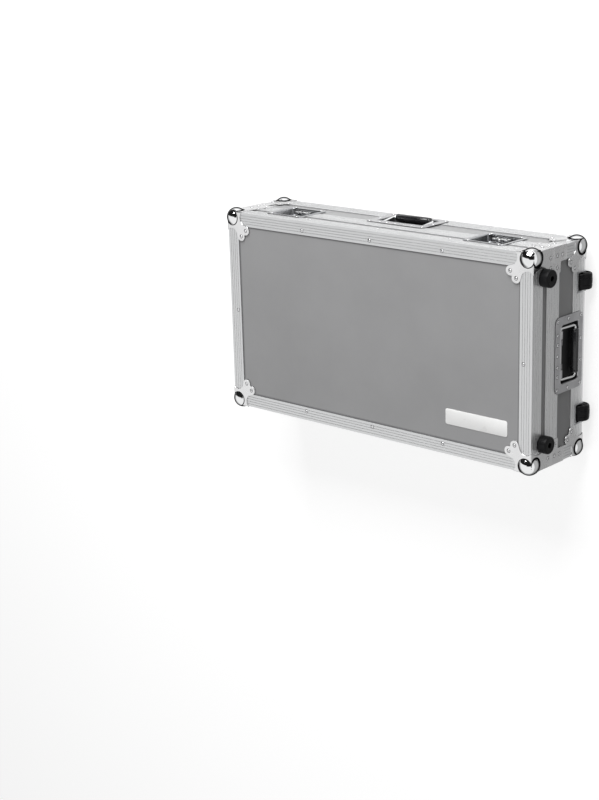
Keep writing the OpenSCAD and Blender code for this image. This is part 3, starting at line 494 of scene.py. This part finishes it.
ball_centre, ball_radius = 14.0, 22.91
crevice_lean = 0.67
ball_cut = 0.55
tip_start, tip_reach = 0.12, 0.14
plate_lift, tuck_start, tuck_reach, tuck_depth = 1.56, 0.64, 0.06, 0.5
flare = 1.6
fold_power = 14
flat_side_spread = 2.2


def held(value):
    """A value held between 0 and 1."""
    return min(max(value, 0), 1)


def ball_lean(way):
    """How far a direction leans out through one of the faces. The ball's tip counts as leaning out too."""
    near, _, far_out = sorted((-way.x, -way.y, -way.z))
    tip = held((near - tip_start) / tip_reach)
    return far_out + (1 - far_out) * tip * tip * (3 - 2 * tip)


def pressed_ball(bm, place):
    """The ball that is pushed out of a corner, with the flared foot that runs into the plates."""
    shape = bmesh.new()
    bmesh.ops.create_icosphere(shape, subdivisions=5, radius=1)
    outer = []
    for vert in shape.verts:
        way = vert.co.normalized()
        lean = ball_lean(way)
        if lean < ball_cut:
            outer.append(vert)
            continue
        tuck = held((tuck_start - lean) / tuck_reach)
        leaning = sum(max(-c, 0) ** fold_power for c in way) ** (1 / fold_power)
        plane = (ball_centre + plate_lift - tuck_depth * tuck * tuck) / max(lean, leaning)
        reach = (ball_radius + plane + hypot(ball_radius - plane, flare)) / 2
        vert.co = way * reach
    bmesh.ops.delete(shape, geom=outer, context="VERTS")
    lean_layer = bm.verts.layers.float.get("lean") or bm.verts.layers.float.new("lean")
    copies = {}
    for vert in shape.verts:
        way = vert.co.normalized()
        copies[vert] = bm.verts.new(place @ ((vert.co + Vector((ball_centre,) * 3)) * MM))
        spread = flat_side_spread if way.z == min(way) else 1
        copies[vert][lean_layer] = crevice_lean + (ball_lean(way) - crevice_lean) * spread
    for face in shape.faces:
        bm.faces.new([copies[v] for v in face.verts])
    shape.free()


def worn_finish(name, base, patches, tones, edge_tone, wear_width, gloss, grain, relief, overlay=None):
    """A plated, painted or moulded finish: patches of two tones, worn edges, uneven gloss and a fine grain.
    base is what new_finish takes, relief the grain's strength and depth, and an overlay changes the rest."""
    finish, tree, shader, place = new_finish(name, *base)
    marks = handled(tree, place, patches)
    worn = use_group(tree, worn_edges, {"Width": wear_width})
    shade = mix_colour(tree, worn["Edge"], mix_colour(tree, marks, *tones), edge_tone)
    rough = mapped(tree, marks, 0.0, 1.0, *gloss)
    if overlay:
        shade, rough = overlay(tree, shader, shade, rough)
    dress(tree, shader, shade, rough, noise(tree, place, grain), *relief, worn["Normal"])
    return finish


def polished(name, colour, roughness, dull=0.0, overlay=None):
    """Bright plating: almost a mirror, with faint wipe marks and wear at the edges."""
    return worn_finish(name, (roughness, 1.0), 22.0, (tinted(colour, 0.93), colour), tinted(colour, 1.08),
                       0.0004, (roughness * 0.8, roughness * 1.25 + 0.01), 420.0, (0.03 + dull, 0.0002),
                       overlay)


def plate_painted_shading(tree):
    """Painted shading: plate faces that lie flat are lighter than the upright ones, as if lit more."""
    normal = add_node(tree, "TexCoord").outputs["Normal"]
    upright = add_node(tree, "SeparateXYZ", {0: normal}).outputs[2]
    # Painted shading: upright faces take the darker tone, flat faces the lighter one.
    lies_flat = mapped(tree, maths(tree, "ABSOLUTE", upright), 0.6, 0.9)
    return mix_colour(tree, lies_flat, (0.64, 0.64, 0.645), (0.80, 0.80, 0.805))


def plate_overlay(tree, shader, shade, rough):
    """The plates' painted shading over their plating."""
    return mix_colour(tree, 1.0, shade, plate_painted_shading(tree), "MULTIPLY"), rough


def ball_overlay(tree, shader, shade, rough):
    """Painted: a dark reflection in the ball's rim, the plates' shading on its foot, and shade in the
    crevice.
    """
    painted_rim_reflection, painted_crease_shade = (0.03, 0.03, 0.032), (0.012, 0.012, 0.013)
    lean = add_node(tree, "Attribute", attribute_name="lean").outputs["Fac"]
    foot = mapped(tree, lean, 0.60, 0.62, 1.0, 0.0)
    # Painted shade in the crevice where the ball meets the plates.
    off_crevice = maths(tree, "ABSOLUTE", maths(tree, "SUBTRACT", lean, crevice_lean))
    crevice_shade = mapped(tree, off_crevice, 0.06, 0.075, 1.0, 0.0)
    # Painted reflection of a dark studio along the ball's rim, where it turns edge-on to the view.
    facing = add_node(tree, "LayerWeight", {"Blend": 0.5}).outputs["Facing"]
    shader.inputs["Specular Tint"].default_value = (0.25, 0.25, 0.25, 1.0)
    shade = mix_colour(tree, mapped(tree, facing, 0.36, 0.62), shade, painted_rim_reflection)
    shade = mix_colour(tree, foot, shade, plate_painted_shading(tree))
    shade = mix_colour(tree, crevice_shade, shade, painted_crease_shade)
    return shade, mix_value(tree, crevice_shade, mix_value(tree, foot, rough, 0.27), 0.55)


ball_chrome = polished("ball_chrome", (0.84, 0.845, 0.85), 0.045, overlay=ball_overlay)
plate_steel = polished("plate_steel", (0.97, 0.97, 0.97), 0.27, 0.03, plate_overlay)
plate_reach = 44.3
for body, level in levels.items():
    is_lid = body == "lid"
    balls, plates = bmesh.new(), bmesh.new()
    for place in corner_places(level, is_lid):
        pressed_ball(balls, place)
        pressed_sheet(plates, lobe_outline, lip, place @ flat_face, (0, 1))
        sides = (seam_outline, plain_edge) if is_lid else (lobe_outline, lip)
        for face in (long_face, short_face):
            pressed_sheet(plates, *sides, place @ face, (0, 1))
        for axis in (0, 1, 2):
            length = lid_depth if is_lid and axis == 2 else plate_reach
            folded_edge(plates, place, axis, length, plate_tip)
    for bm in (balls, plates):
        bmesh.ops.remove_doubles(bm, verts=bm.verts, dist=1e-6)
        outward(bm)
    make_piece(f"{body}_corner_plates", plates, plate_steel, body, "bright_steel", f"{body}_ball_corners")
    make_piece(f"{body}_corner_balls", balls, ball_chrome, body, "bright_steel", smooth=60)

braces = bmesh.new()
for place in corner_places(seam_level - seam_gap, True):
    for face in (long_face, short_face):
        pressed_sheet(braces, brace_outline, plain_edge, place @ face, (0,))
    folded_edge(braces, place, 2, brace_height)
outward(braces)
make_piece("seam_braces", braces, plate_steel, "base", "bright_steel", "base_corner_braces")


# ---- Rivets ----
# Steel pop rivets through the sections, plates, dishes and hinges. Each has a flat domed head with a dark
# disc painted as the shade in the hole that its mandrel leaves, in a low pressed ring darkened with painted
# shade.
def merged(node):
    """A CAD node's mesh with its points joined."""
    bm = bmesh.new()
    bm.from_mesh(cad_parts[node].data)
    bmesh.ops.remove_doubles(bm, verts=bm.verts, dist=2e-6)
    return bm


def islands(node):
    """The lowest and highest corner of each separate solid of a CAD node, in a steady order."""
    bm = merged(node)
    seen, found = set(), []
    for start in bm.verts:
        if start in seen:
            continue
        seen.add(start)
        reach, group = [start], []
        while reach:
            vert = reach.pop()
            group.append(vert.co.copy())
            others = {edge.other_vert(vert) for edge in vert.link_edges} - seen
            seen |= others
            reach += others
        found.append([Vector([end(p[i] for p in group) for i in range(3)]) for end in (min, max)])
    bm.free()
    return sorted(found, key=lambda pair: tuple(round(c, 5) for c in pair[0]))


rivet_sizes = {"Head Radius": 3.5 * MM, "Head Height": 1.4 * MM, "Hole Radius": 1.2 * MM,
               "Ring Radius": 4.8 * MM}
ring_depth = 0.3 * MM
hole_lift, ring_top, ring_shade = 0.54, 0.8, 0.8


def rivet_tree(finish):
    """Rivet heads on every point, turned along the point's own direction."""
    tree = bpy.data.node_groups.new("rivet_heads", "GeometryNodeTree")
    tree.interface.new_socket("Geometry", in_out="INPUT", socket_type="NodeSocketGeometry")
    for label in rivet_sizes:
        tree.interface.new_socket(label, in_out="INPUT", socket_type="NodeSocketFloat")
    tree.interface.new_socket("Geometry", in_out="OUTPUT", socket_type="NodeSocketGeometry")
    given = add_node(tree, "NodeGroupInput").outputs
    radius, height, ring_radius = given["Head Radius"], given["Head Height"], given["Ring Radius"]

    def solid(kind, **inputs):
        named = {name.replace("_", " "): value for name, value in inputs.items()}
        return add_node(tree, f"GeometryNode{kind}", named).outputs[0]

    def masked(shape, value):
        """A shape with its share of the painted shade that darkens the hole and the ring."""
        return add_node(tree, "GeometryNodeStoreNamedAttribute", {0: shape, "Name": "painted_rivet_shade", "Value": value},
                        data_type="FLOAT", domain="POINT").outputs[0]

    flat = add_node(tree, "CombineXYZ", {0: radius, 1: radius, 2: height}).outputs[0]
    head = solid("Transform", Geometry=solid("MeshUVSphere", Segments=18, Rings=8, Radius=1.0), Scale=flat)
    up = add_node(tree, "CombineXYZ", {2: maths(tree, "MULTIPLY", height, hole_lift)}).outputs[0]
    painted_rivet_shade = solid("MeshCylinder", Vertices=12, Radius=given["Hole Radius"], Depth=height)
    painted_rivet_shade = masked(solid("Transform", Geometry=painted_rivet_shade, Translation=up), 1.0)
    ring = masked(solid("MeshCone", Vertices=20, Radius_Top=maths(tree, "MULTIPLY", ring_radius, ring_top),
                        Radius_Bottom=ring_radius, Depth=ring_depth), ring_shade)
    every = add_node(tree, "GeometryNodeJoinGeometry")
    for part in (head, painted_rivet_shade, ring):
        tree.links.new(part, every.inputs[0])
    direction = add_node(tree, "GeometryNodeInputNamedAttribute", {"Name": "out"}, data_type="FLOAT_VECTOR")
    turn = add_node(tree, "FunctionNodeAlignRotationToVector", {"Vector": direction.outputs[0]}, axis="Z")
    placed = solid("InstanceOnPoints", Points=given["Geometry"], Instance=every.outputs[0],
                   Rotation=turn.outputs[0])
    shiny = solid("SetMaterial", Geometry=solid("RealizeInstances", Geometry=placed), Material=finish)
    add_node(tree, "NodeGroupOutput", {0: shiny})
    return tree


def baked(mesh, kind, values=None, **settings):
    """The plain bmesh that a modifier makes from a mesh, with values for the named inputs of its tree."""
    holder = new_object(mesh.name, mesh)
    modifier = holder.modifiers.new("made", kind)
    for name, value in settings.items():
        setattr(modifier, name, value)
    if values:
        for socket in modifier.node_group.interface.items_tree:
            if socket.name in values:
                modifier[socket.identifier] = values[socket.name]
    sight = bpy.context.evaluated_depsgraph_get()
    made = bpy.data.meshes.new_from_object(holder.evaluated_get(sight))
    holder.modifiers.clear()
    bpy.data.objects.remove(holder)
    bm = bmesh.new()
    bm.from_mesh(made)
    return bm


rivet_finish, tree, shader, place = new_finish("rivet_steel", 0.28, 1.0)
# Painted shade of the mandrel's hole and of the pressed ring: near black where the attribute is high.
rivet_shade_amount = add_node(tree, "Attribute", attribute_name="painted_rivet_shade").outputs["Fac"]
marks = handled(tree, place, 160.0)
steel = mix_colour(tree, marks, (0.66, 0.66, 0.67), (0.84, 0.84, 0.85))
dress(tree, shader, mix_colour(tree, rivet_shade_amount, steel, (0.015, 0.015, 0.016)),
      mapped(tree, marks, to_low=0.2, to_high=0.36), noise(tree, place, 1400.0, 2.0), 0.12, 0.0002)

heads = rivet_tree(rivet_finish)
for body in levels:
    seats, ways = [], []
    for low, high in islands(f"{body}_rivets"):
        size, centre = high - low, (low + high) / 2
        axis = min(range(3), key=lambda i: size[i])
        outwards = 1 if centre[axis] > case_middle[axis] else -1
        centre[axis] = low[axis] if outwards > 0 else high[axis]
        way = Vector()
        way[axis] = outwards
        seats.append(centre)
        ways.append(way)
    points = bpy.data.meshes.new(f"{body}_rivet_points")
    points.from_pydata(seats, [], [])
    out = points.attributes.new("out", "FLOAT_VECTOR", "POINT")
    for i, way in enumerate(ways):
        out.data[i].vector = way
    grown = baked(points, "NODES", rivet_sizes, node_group=heads)
    make_piece(f"{body}_rivet_heads", grown, rivet_finish, body, "bright_steel", f"{body}_rivets", smooth=40)


# ---- Latches ----
# Butterfly latches of zinc plated steel. Each sits in a pressed dish that is cut in two at the seam. The
# base's half holds the rotor with its folding wing and the sprung claw, and the lid's half has the bar that
# the claw pulls on.
def turned(degrees, axis):
    """A turn about an axis."""
    return Matrix.Rotation(radians(degrees), 4, axis)


def on_side(turn, distance, along=0.0, up=0.0):
    """A frame on one side of the case: x along it, y up, z outwards from its face."""
    return (Matrix.Translation((case_middle.x, case_middle.y, 0)) @ turned(turn, "Z")
            @ Matrix.Translation((0, -distance, 0)) @ turned(90, "X") @ Matrix.Translation((along, up, 0)))


def rounded_loop(half_width, up, down, corner, middle=0.0, steps=6):
    """A rectangle with round corners, from -down to up about a middle height."""
    points = []
    for x, y, start in ((1, 1, 0), (-1, 1, 90), (-1, -1, 180), (1, -1, 270)):
        centre = (x * (half_width - corner), middle + (up if y > 0 else -down) - y * corner)
        points += arc(centre, corner, start, start + 90, steps)
    return points


def pressed_form(bm, place, loops):
    """A sheet pressed through rounded loops, each with its level last, and closed by its floor."""
    rings = [corner_points(bm, place, [(x, y, level) for x, y in rounded_loop(*size)])
             for *size, level in loops]
    bridge(bm, rings)
    bm.faces.new(rings[-1])
    return rings


sheet_thickness = 1.1 * MM


def with_wall(bm):
    """The same sheet with a wall, grown inwards from the side that shows."""
    mesh = bpy.data.meshes.new("sheet")
    bm.to_mesh(mesh)
    bm.free()
    return baked(mesh, "SOLIDIFY", thickness=sheet_thickness, offset=-1)


def eased_piece(name, node, width, finish, body, slot="zinc_steel"):
    """A piece from a CAD node's solids, with their edges rounded as on a real pressing or casting."""
    bm = merged(node)
    flat, sharp = radians(1), radians(30)
    bmesh.ops.dissolve_limit(bm, angle_limit=flat, verts=bm.verts, edges=bm.edges)
    arrises = [e for e in bm.edges if len(e.link_faces) == 2 and e.calc_face_angle(0) > sharp]
    bmesh.ops.bevel(bm, geom=arrises, offset=width * MM, segments=2, profile=0.5, affect="EDGES",
                    clamp_overlap=True)
    make_piece(name, bm, finish, body, slot, node)


# Each loop of the dish: half width, corner and level. It reaches less far above and below the seam
dish_form = [(54, 5, 0), (54, 5, 1.0), (53.6, 4.6, 1.5), (52.9, 4, 1.75), (52.2, 4, 1.6), (51.6, 4, 1.5),
             (48.1, 7, 1.5), (47.2, 6.5, 1.3), (46.4, 6, 0.5), (45.9, 5.5, -1.2), (45.2, 5, -13.2),
             (44.4, 4.6, -15.2), (42.8, 4, -16)]
less_up, less_down = 10, 4
dish_loops = [(w, w - less_up, w - less_down, corner, level) for w, corner, level in dish_form]
dish_loops.append((20, 14, 18, 3, -16))
latch_spacing = 288 * MM
pan_metal = polished("latch_zinc", (0.36, 0.365, 0.375), 0.25, 0.05)
wing_chrome = polished("wing_chrome", (0.66, 0.665, 0.67), 0.12)
for side, direction in (("left", -1), ("right", 1)):
    place = on_side(0, case_half.y, direction * latch_spacing, seam_level)
    for body, up in (("base", -1), ("lid", 1)):
        bm = bmesh.new()
        pressed_form(bm, place, dish_loops)
        outward(bm)
        seam_cut = place @ Vector((0, up * seam_gap, 0))
        bmesh.ops.bisect_plane(bm, geom=bm.verts[:] + bm.edges[:] + bm.faces[:], dist=1e-7, plane_co=seam_cut,
                               plane_no=(0, 0, up), clear_inner=True)
        deepest = max(bm.faces, key=lambda f: f.calc_center_median().y)
        if deepest.normal.y > 0:
            bmesh.ops.reverse_faces(bm, faces=bm.faces)
        make_piece(f"{side}_{body}_latch_dish", with_wall(bm), pan_metal, body, "zinc_steel",
                   f"{side}_latch_{body}_dish", smooth=40)
    for part, width, finish, *slot in (("rotor", 0.35, pan_metal), ("wing", 0.7, wing_chrome, "bright_steel"),
                                       ("claw", 0.5, pan_metal)):
        node = f"{side}_latch_{part}"
        eased_piece(f"{side}_{part}", node, width, finish, node, *slot)
    eased_piece(f"{side}_wing_pin", f"{side}_latch_wing_pin", 0.3, wing_chrome, f"{side}_latch_rotor")
eased_piece("claw_pins", "latch_claw_pins", 0.3, pan_metal, "base")
eased_piece("claw_keepers", "latch_keepers", 0.6, pan_metal, "lid")


# ---- Handles ----
# Sprung case handles: a riveted steel plate pressed into a deep pan that is lined in black, a wire bail in
# two tubes with a coiled spring at each end, and a moulded rubber grip pushed over the bail. The plate's
# outer wall is darkened with painted shade.
plate_middle = -84 - 52.5
pan_offset = -(106 + 171.5) / 2 - plate_middle
# Each loop of the plate's rim and of its pan: half width, corner and level
rim_form = [(85, 14, 0), (85, 14, 1.0), (84.6, 13.6, 1.45), (83.8, 13, 1.7), (83, 12.4, 1.6), (82.2, 12, 1.5)]
pan_form = [(68.5, 9, 1.5), (68.0, 8.6, 1.95), (67.0, 8, 2.2), (66.0, 7.5, 1.9), (65.3, 7, 0.8),
            (64.9, 6.8, -1.0), (64.2, 6.4, -11), (63.2, 6, -13.2), (61, 5.4, -14)]
rim_squat, pan_squat = 32.5, 32.3
rim_dark_below, pan_dark_below = 1.2, 0


def handle_plate(bm, place):
    """The plate's rim, its rolled lip and its pan, with a mark on the pan's black lining and on the rim's
    outer wall, which is darkened as painted shade."""
    lining = bm.verts.layers.float.new("lining")
    loops = [(w, w - rim_squat, w - rim_squat, corner, 0, level) for w, corner, level in rim_form]
    loops += [(w, w - pan_squat, w - pan_squat, corner, pan_offset, level) for w, corner, level in pan_form]
    loops.append((30, 12, 12, 4, pan_offset, -14))
    rings = pressed_form(bm, place @ Matrix.Translation((0, plate_middle * MM, 0)), loops)
    for i, ring in enumerate(rings):
        # The pan's black lacquer, and painted shade on the rim's outer wall.
        dark_below = rim_dark_below if i < len(rim_form) else pan_dark_below
        for vert in ring:
            vert[lining] = loops[i][-1] < dark_below


def round_points(sides):
    """Points on a circle of radius 1."""
    return [(cos(a), sin(a)) for a in (2 * pi * k / sides for k in range(sides))]


def swept(bm, path, radius, sides=14):
    """A round wire along points."""
    side = None
    rings = []
    for i, point in enumerate(path):
        ahead = (path[min(i + 1, len(path) - 1)] - path[max(i - 1, 0)]).normalized()
        if side is None:
            side = ahead.orthogonal().normalized()
        side = (side - ahead * side.dot(ahead)).normalized()
        other = ahead.cross(side)
        rings.append([bm.verts.new(point + (side * x + other * y) * radius) for x, y in round_points(sides)])
    bridge(bm, rings)
    bm.faces.new(list(reversed(rings[0])))
    bm.faces.new(rings[-1])


def revolved(bm, place, profile, sides):
    """A profile of (radius, height) turned about the z axis of a place. A radius of 0 closes it."""
    bridge(bm, [corner_points(bm, place, [(radius * x, radius * y, height)
                                          for x, y in round_points(sides if radius else 1)])
                for radius, height in profile])


def lining_overlay(tree, shader, shade, rough):
    """The black lacquer in the plate's pan, and painted shade on its outer wall, over its zinc."""
    lacquer_and_wall_shade = (0.010, 0.010, 0.011)
    black = add_node(tree, "Attribute", attribute_name="lining").outputs["Fac"]
    tree.links.new(mapped(tree, black, to_low=1.0, to_high=0.0), shader.inputs["Metallic"])
    return mix_colour(tree, black, shade, lacquer_and_wall_shade), mix_value(tree, black, rough, 0.62)


def moulded_rubber(name, colour, roughness, grain=1500.0, depth=0.12, specular=0.12):
    """Black moulded rubber: fine pores, paler dust where it is handled, and worn edges."""
    dusty, worn = (tuple(c * paler + dust for c in colour) for paler, dust in ((1.7, 0.003), (2.4, 0.006)))
    return worn_finish(name, (roughness, 0.0, specular), 40.0, (colour, dusty), worn, 0.0008,
                       (roughness - 0.06, roughness + 0.1), grain, (depth, 0.0003))


handle_zinc = worn_finish("handle_zinc", (0.3, 1.0), 26.0, ((0.36, 0.36, 0.37), (0.46, 0.46, 0.47)),
                          (0.74, 0.74, 0.74), 0.0006, (0.26, 0.36), 900.0, (0.08, 0.0003), lining_overlay)
grip_rubber = moulded_rubber("grip_rubber", (0.007, 0.007, 0.008), 0.24, specular=0.55)
bail_steel = polished("bail_steel", (0.78, 0.785, 0.79), 0.16)
spring_steel = polished("spring_steel", (0.30, 0.30, 0.31), 0.3)

# The bail hangs down and a little outwards: two legs with round bends, from the pivot to the grip
grip_down, grip_out = 48.0, 5.5
arm = hypot(grip_down, grip_out)
bail_half = ([(0, 0), (52, 0)] + arc((52, -5), 5, 90, 0, 6)[1:] + arc((50, -arm + 7), 7, 0, -90, 8)
             + [(0, -arm)])
bail_path = [(-x, y) for x, y in bail_half] + [(x, y) for x, y in reversed(bail_half[:-1])]
bail_tilt = Matrix.Rotation(-atan(grip_out / grip_down), 4, "X")
bail_radius = 3 * MM
grip_end = [(0, -49), (6.0, -49), (7.4, -48.4), (8.2, -47.2), (8.5, -45.5), (8.5, -43.4), (8.2, -42.9),
            (8.2, -42.1), (8.5, -41.6)]
grip_profile = grip_end + [(radius, -along) for radius, along in reversed(grip_end)]
pivot_down, pivot_in = -112 * MM, -5 * MM
tube_profile = [(3.1, -9), (5.1, -9), (5.5, -8.6), (5.5, 8.6), (5.1, 9), (3.1, 9), (3.1, -9)]
tube_along = 43 * MM
coil_start, coil_length, coil_steps, coil_radius = 21.2, 11.6, 160, 4.4
steps_per_turn = 20
leg_along, leg_inwards, leg_down = 33.2, 0.6, 1.4
coil_wire = 0.8 * MM
lengthwise = turned(90, "Y")

springs = bmesh.new()
for body, turn, distance in (("front_handle", 0, case_half.y), ("wheel_end_handle", -90, case_half.x),
                             ("handle_end_handle", 90, case_half.x)):
    place = on_side(turn, distance, 0, case_high.z)
    bm = bmesh.new()
    handle_plate(bm, place)
    outward(bm)
    outwards = place.to_3x3() @ Vector((0, 0, 1))
    floor_face = min(bm.faces, key=lambda f: f.calc_center_median().dot(outwards))
    if floor_face.normal.dot(outwards) < 0:
        bmesh.ops.reverse_faces(bm, faces=bm.faces)
    pivot = place @ Matrix.Translation((0, pivot_down, pivot_in))
    sheet = with_wall(bm)
    for x in (-1, 1):
        revolved(sheet, pivot @ Matrix.Translation((x * tube_along, 0, 0)) @ lengthwise, tube_profile, 24)
        coil = []
        for i in range(coil_steps + 1):
            a = 2 * pi * i / steps_per_turn
            coil.append((x * (coil_start + coil_length * i / coil_steps), coil_radius * cos(a),
                         coil_radius * sin(a)))
        coil += [(x * leg_along, coil_radius - leg_inwards * i, -leg_down * i) for i in range(1, 6)]
        swept(springs, [pivot @ (Vector(p) * MM) for p in coil], coil_wire, 8)
    make_piece(f"{body}_plate", sheet, handle_zinc, "base", "zinc_steel", f"{body}_dish", smooth=38)
    swing = pivot @ bail_tilt
    wire = bmesh.new()
    swept(wire, [swing @ (Vector((x, y, 0)) * MM) for x, y in bail_path], bail_radius)
    outward(wire)
    make_piece(f"{body}_wire", wire, bail_steel, body, "bright_steel", f"{body}_bail")
    rubber = bmesh.new()
    revolved(rubber, swing @ Matrix.Translation((0, -arm * MM, 0)) @ lengthwise, grip_profile, 40)
    outward(rubber)
    make_piece(f"{body}_rubber_grip", rubber, grip_rubber, body, "rubber", f"{body}_grip")
outward(springs)
make_piece("bail_springs", springs, spring_steel, "base", "zinc_steel", "handle_springs")


# ---- Wheels, housings and feet ----
# Two moulded wheels turn on steel axles in pressed housings let into the edge of the wheel end. Round rubber
# feet are screwed to the lid's end beside them and under the floor, with the screws deep in their holes.
wheel_rubber = moulded_rubber("wheel_rubber", (0.004, 0.004, 0.0045), 0.34, 900.0)
foot_rubber = moulded_rubber("foot_rubber", (0.004, 0.004, 0.0045), 0.36, 1100.0, 0.16)
tread = [(4.1, -17.5), (6.5, -17.5), (7.2, -16.9), (7.6, -15.2), (16.8, -15.2), (17.6, -15.7), (18.2, -17.1),
         (19.0, -17.5), (20.2, -17.3), (21.3, -16.5), (22.0, -15.1), (22.5, -12.5), (22.75, -8.4), (22.0, -8),
         (21.9, -7), (22.1, -6.2), (22.9, -5.8), (23, -2), (23, 0)]
wheel_profile = tread + [(radius, -along) for radius, along in reversed(tread[:-1])] + [tread[0]]
spoke_count, spoke_at, spoke_level = 5, 12 * MM, 15.5 * MM
spoke_size = Matrix.Diagonal((10 * MM, 2.2 * MM, 1.8 * MM, 1))
for name in ("front", "rear"):
    bm = bmesh.new()
    wheel_low, wheel_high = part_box(f"{name}_wheel")
    hub = Matrix.Translation((wheel_low + wheel_high) / 2) @ turned(90, "X")
    revolved(bm, hub, wheel_profile, 72)
    for side in (-1, 1):
        for k in range(spoke_count):
            spoke = (hub @ Matrix.Rotation(2 * pi * k / spoke_count, 4, "Z")
                     @ Matrix.Translation((spoke_at, 0, side * spoke_level)))
            made = bmesh.ops.create_cube(bm, size=1, matrix=spoke @ spoke_size)
            rim = {e for v in made["verts"] for e in v.link_edges}
            bmesh.ops.bevel(bm, geom=list(rim), offset=0.4 * MM, segments=2, affect="EDGES")
    outward(bm)
    make_piece(f"{name}_wheel_tyre", bm, wheel_rubber, f"{name}_wheel", "rubber", f"{name}_wheel")
    eased_piece(f"{name}_housing", f"{name}_wheel_housing", 0.5, pan_metal, "base")
eased_piece("axles", "wheel_axles", 0.5, wing_chrome, "base")


foot_face = [(0, 3.2), (0.35, 1.6), (1.3, 0.5), (2.6, 0), (6.0, 0), (6.5, 0.5), (7.2, 0.5), (7.7, 0)]


def rubber_feet(name, node, body, axis, turn):
    """Feet with a rolled edge, a shallow ring round the face and a stepped hole for the screw. They sit on
    the high side of their room on one axis, and a turn points them down it."""
    bm = bmesh.new()
    for low, high in islands(node):
        seat = (low + high) / 2
        seat[axis] = high[axis]
        radius, height = (high.y - low.y) / 2 / MM, (high[axis] - low[axis]) / MM
        profile = [(0, 0.3), (radius - 0.6, 0.3), (radius, 0.9)]
        profile += [(radius - inset, height - drop) for inset, drop in foot_face]
        profile += [(7.0, height), (6.2, height - 0.6), (6.0, height - 1.4), (6.0, 6.4), (0, 6.0)]
        revolved(bm, Matrix.Translation(seat) @ turn, profile, 56)
    outward(bm)
    make_piece(name, bm, foot_rubber, body, "rubber", node)


rubber_feet("lid_end_feet", "end_feet", "lid", 0, turned(-90, "Y"))
rubber_feet("base_floor_feet", "floor_feet", "base", 2, turned(180, "X"))
screw_zinc = polished("screw_zinc", (0.93, 0.93, 0.94), 0.3)
eased_piece("lid_foot_screws", "end_foot_screws", 0.25, screw_zinc, "lid")
eased_piece("base_foot_screws", "floor_foot_screws", 0.25, screw_zinc, "base")


# ---- Hinges ----
# Two steel butt hinges, zinc plated and riveted across the rear seam. Their leaves are rolled into knuckles
# with a steel pin through them.
hinge_zinc = polished("hinge_zinc", (0.66, 0.665, 0.68), 0.26, 0.05)
eased_piece("base_hinge_leaves", "hinge_base_leaves", 0.4, hinge_zinc, "base")
eased_piece("lid_hinge_leaves", "hinge_lid_leaves", 0.4, hinge_zinc, "lid")
eased_piece("hinge_pin_rods", "hinge_pins", 0.5, wing_chrome, "base")


# ---- Foam lining ----
# Charcoal polyether foam, sawn to size and glued to the floor, the walls and the lid. Its sawn faces are open
# and slightly wavy, and its corners have softened with use.
lining_foam, tree, shader, place = new_finish("charcoal_foam", 0.95, 0.0, 0.15)
cells = add_node(tree, "TexVoronoi", {"Vector": place, "Scale": 700.0}).outputs["Distance"]
clumps = noise(tree, place, 60.0, 6.0, 0.6)
cell_colour = mix_colour(tree, mapped(tree, cells, 0.1, 0.75), (0.010, 0.010, 0.011), (0.042, 0.042, 0.045))
dress(tree, shader, mix_colour(tree, handled(tree, place, 7.0), cell_colour, (0.050, 0.050, 0.052)), None,
      maths(tree, "ADD", cells, clumps), 0.5, 0.0008)
shader.inputs["Sheen Weight"].default_value = 0.25
shader.inputs["Sheen Roughness"].default_value = 0.5

foam_crown = 1.2 * MM
foam_cell = 9 * MM
wave_share, side_share = 0.35, 0.8


def foam_slab(bm, low, high, corner):
    """A slab cut from foam, with its edges rounded, its broad faces slightly crowned and wavy, and its sides
    pulled in between the corners. It stays inside the room between low and high."""
    half, centre = (high - low) / 2, (low + high) / 2
    counts = [max(2, round(2 * h / foam_cell)) for h in half]
    thin = min(range(3), key=lambda i: half[i])
    made = {}

    def vertex(key):
        if key in made:
            return made[key]
        unit = Vector([2 * n / c - 1 for n, c in zip(key, counts)])
        point = Vector([u * h for u, h in zip(unit, half)])
        core = Vector([max(-(h - corner), min(h - corner, p)) for h, p in zip(half, point)])
        away = point - core
        if away.length > corner:
            away *= corner / away.length
        point = core + away
        bulge = foam_crown
        for axis in {0, 1, 2} - {thin}:
            bulge *= 1 - abs(unit[axis]) ** 3
        wave = (sin(point.x * 31 + centre.y * 9) + sin(point.y * 37 + centre.z * 7)
                + sin(point.z * 43 + centre.x * 11)) / 3
        inwards = (foam_crown - bulge) + wave_share * foam_crown * (1 + wave)
        for axis in range(3):
            if abs(unit[axis]) <= 0.99:
                continue
            pull = min(inwards, corner)
            if axis != thin:
                other = 3 - axis - thin
                pull = foam_crown * side_share * (1 - abs(unit[other]) ** 4)
            point[axis] -= copysign(pull, unit[axis])
        made[key] = bm.verts.new(centre + point)
        return made[key]

    for axis in range(3):
        a, b = (i for i in range(3) if i != axis)
        for end_at in (0, counts[axis]):
            for i in range(counts[a]):
                for j in range(counts[b]):
                    corners = []
                    for di, dj in ((0, 0), (1, 0), (1, 1), (0, 1)):
                        key = [0, 0, 0]
                        key[axis], key[a], key[b] = end_at, i + di, j + dj
                        corners.append(vertex(tuple(key)))
                    bm.faces.new(corners)


for piece_name, body, node, corner in (("floor_foam", "base", "base_floor_pad", 4.0),
                                       ("wall_foam", "base", "base_wall_pads", 3.5),
                                       ("lid_foam", "lid", "lid_pad", 4.5)):
    bm = bmesh.new()
    for low, high in islands(node):
        foam_slab(bm, low, high, corner * MM)
    outward(bm)
    pad = make_piece(piece_name, bm, lining_foam, body, "foam", node, smooth=70)


# ---- Name plate ----
# A thin steel plate with round corners, enamelled white, fixed flat on the lid where a maker would put a
# name. It is left bare.
white_enamel = worn_finish("white_enamel", (0.3,), 14.0, ((0.72, 0.72, 0.715), (0.78, 0.78, 0.775)),
                           (0.45, 0.45, 0.45), 0.0004, (0.24, 0.4), 700.0, (0.05, 0.0002))
eased_piece("bare_plate", "name_plate", 0.3, white_enamel, "lid", "plate_white")
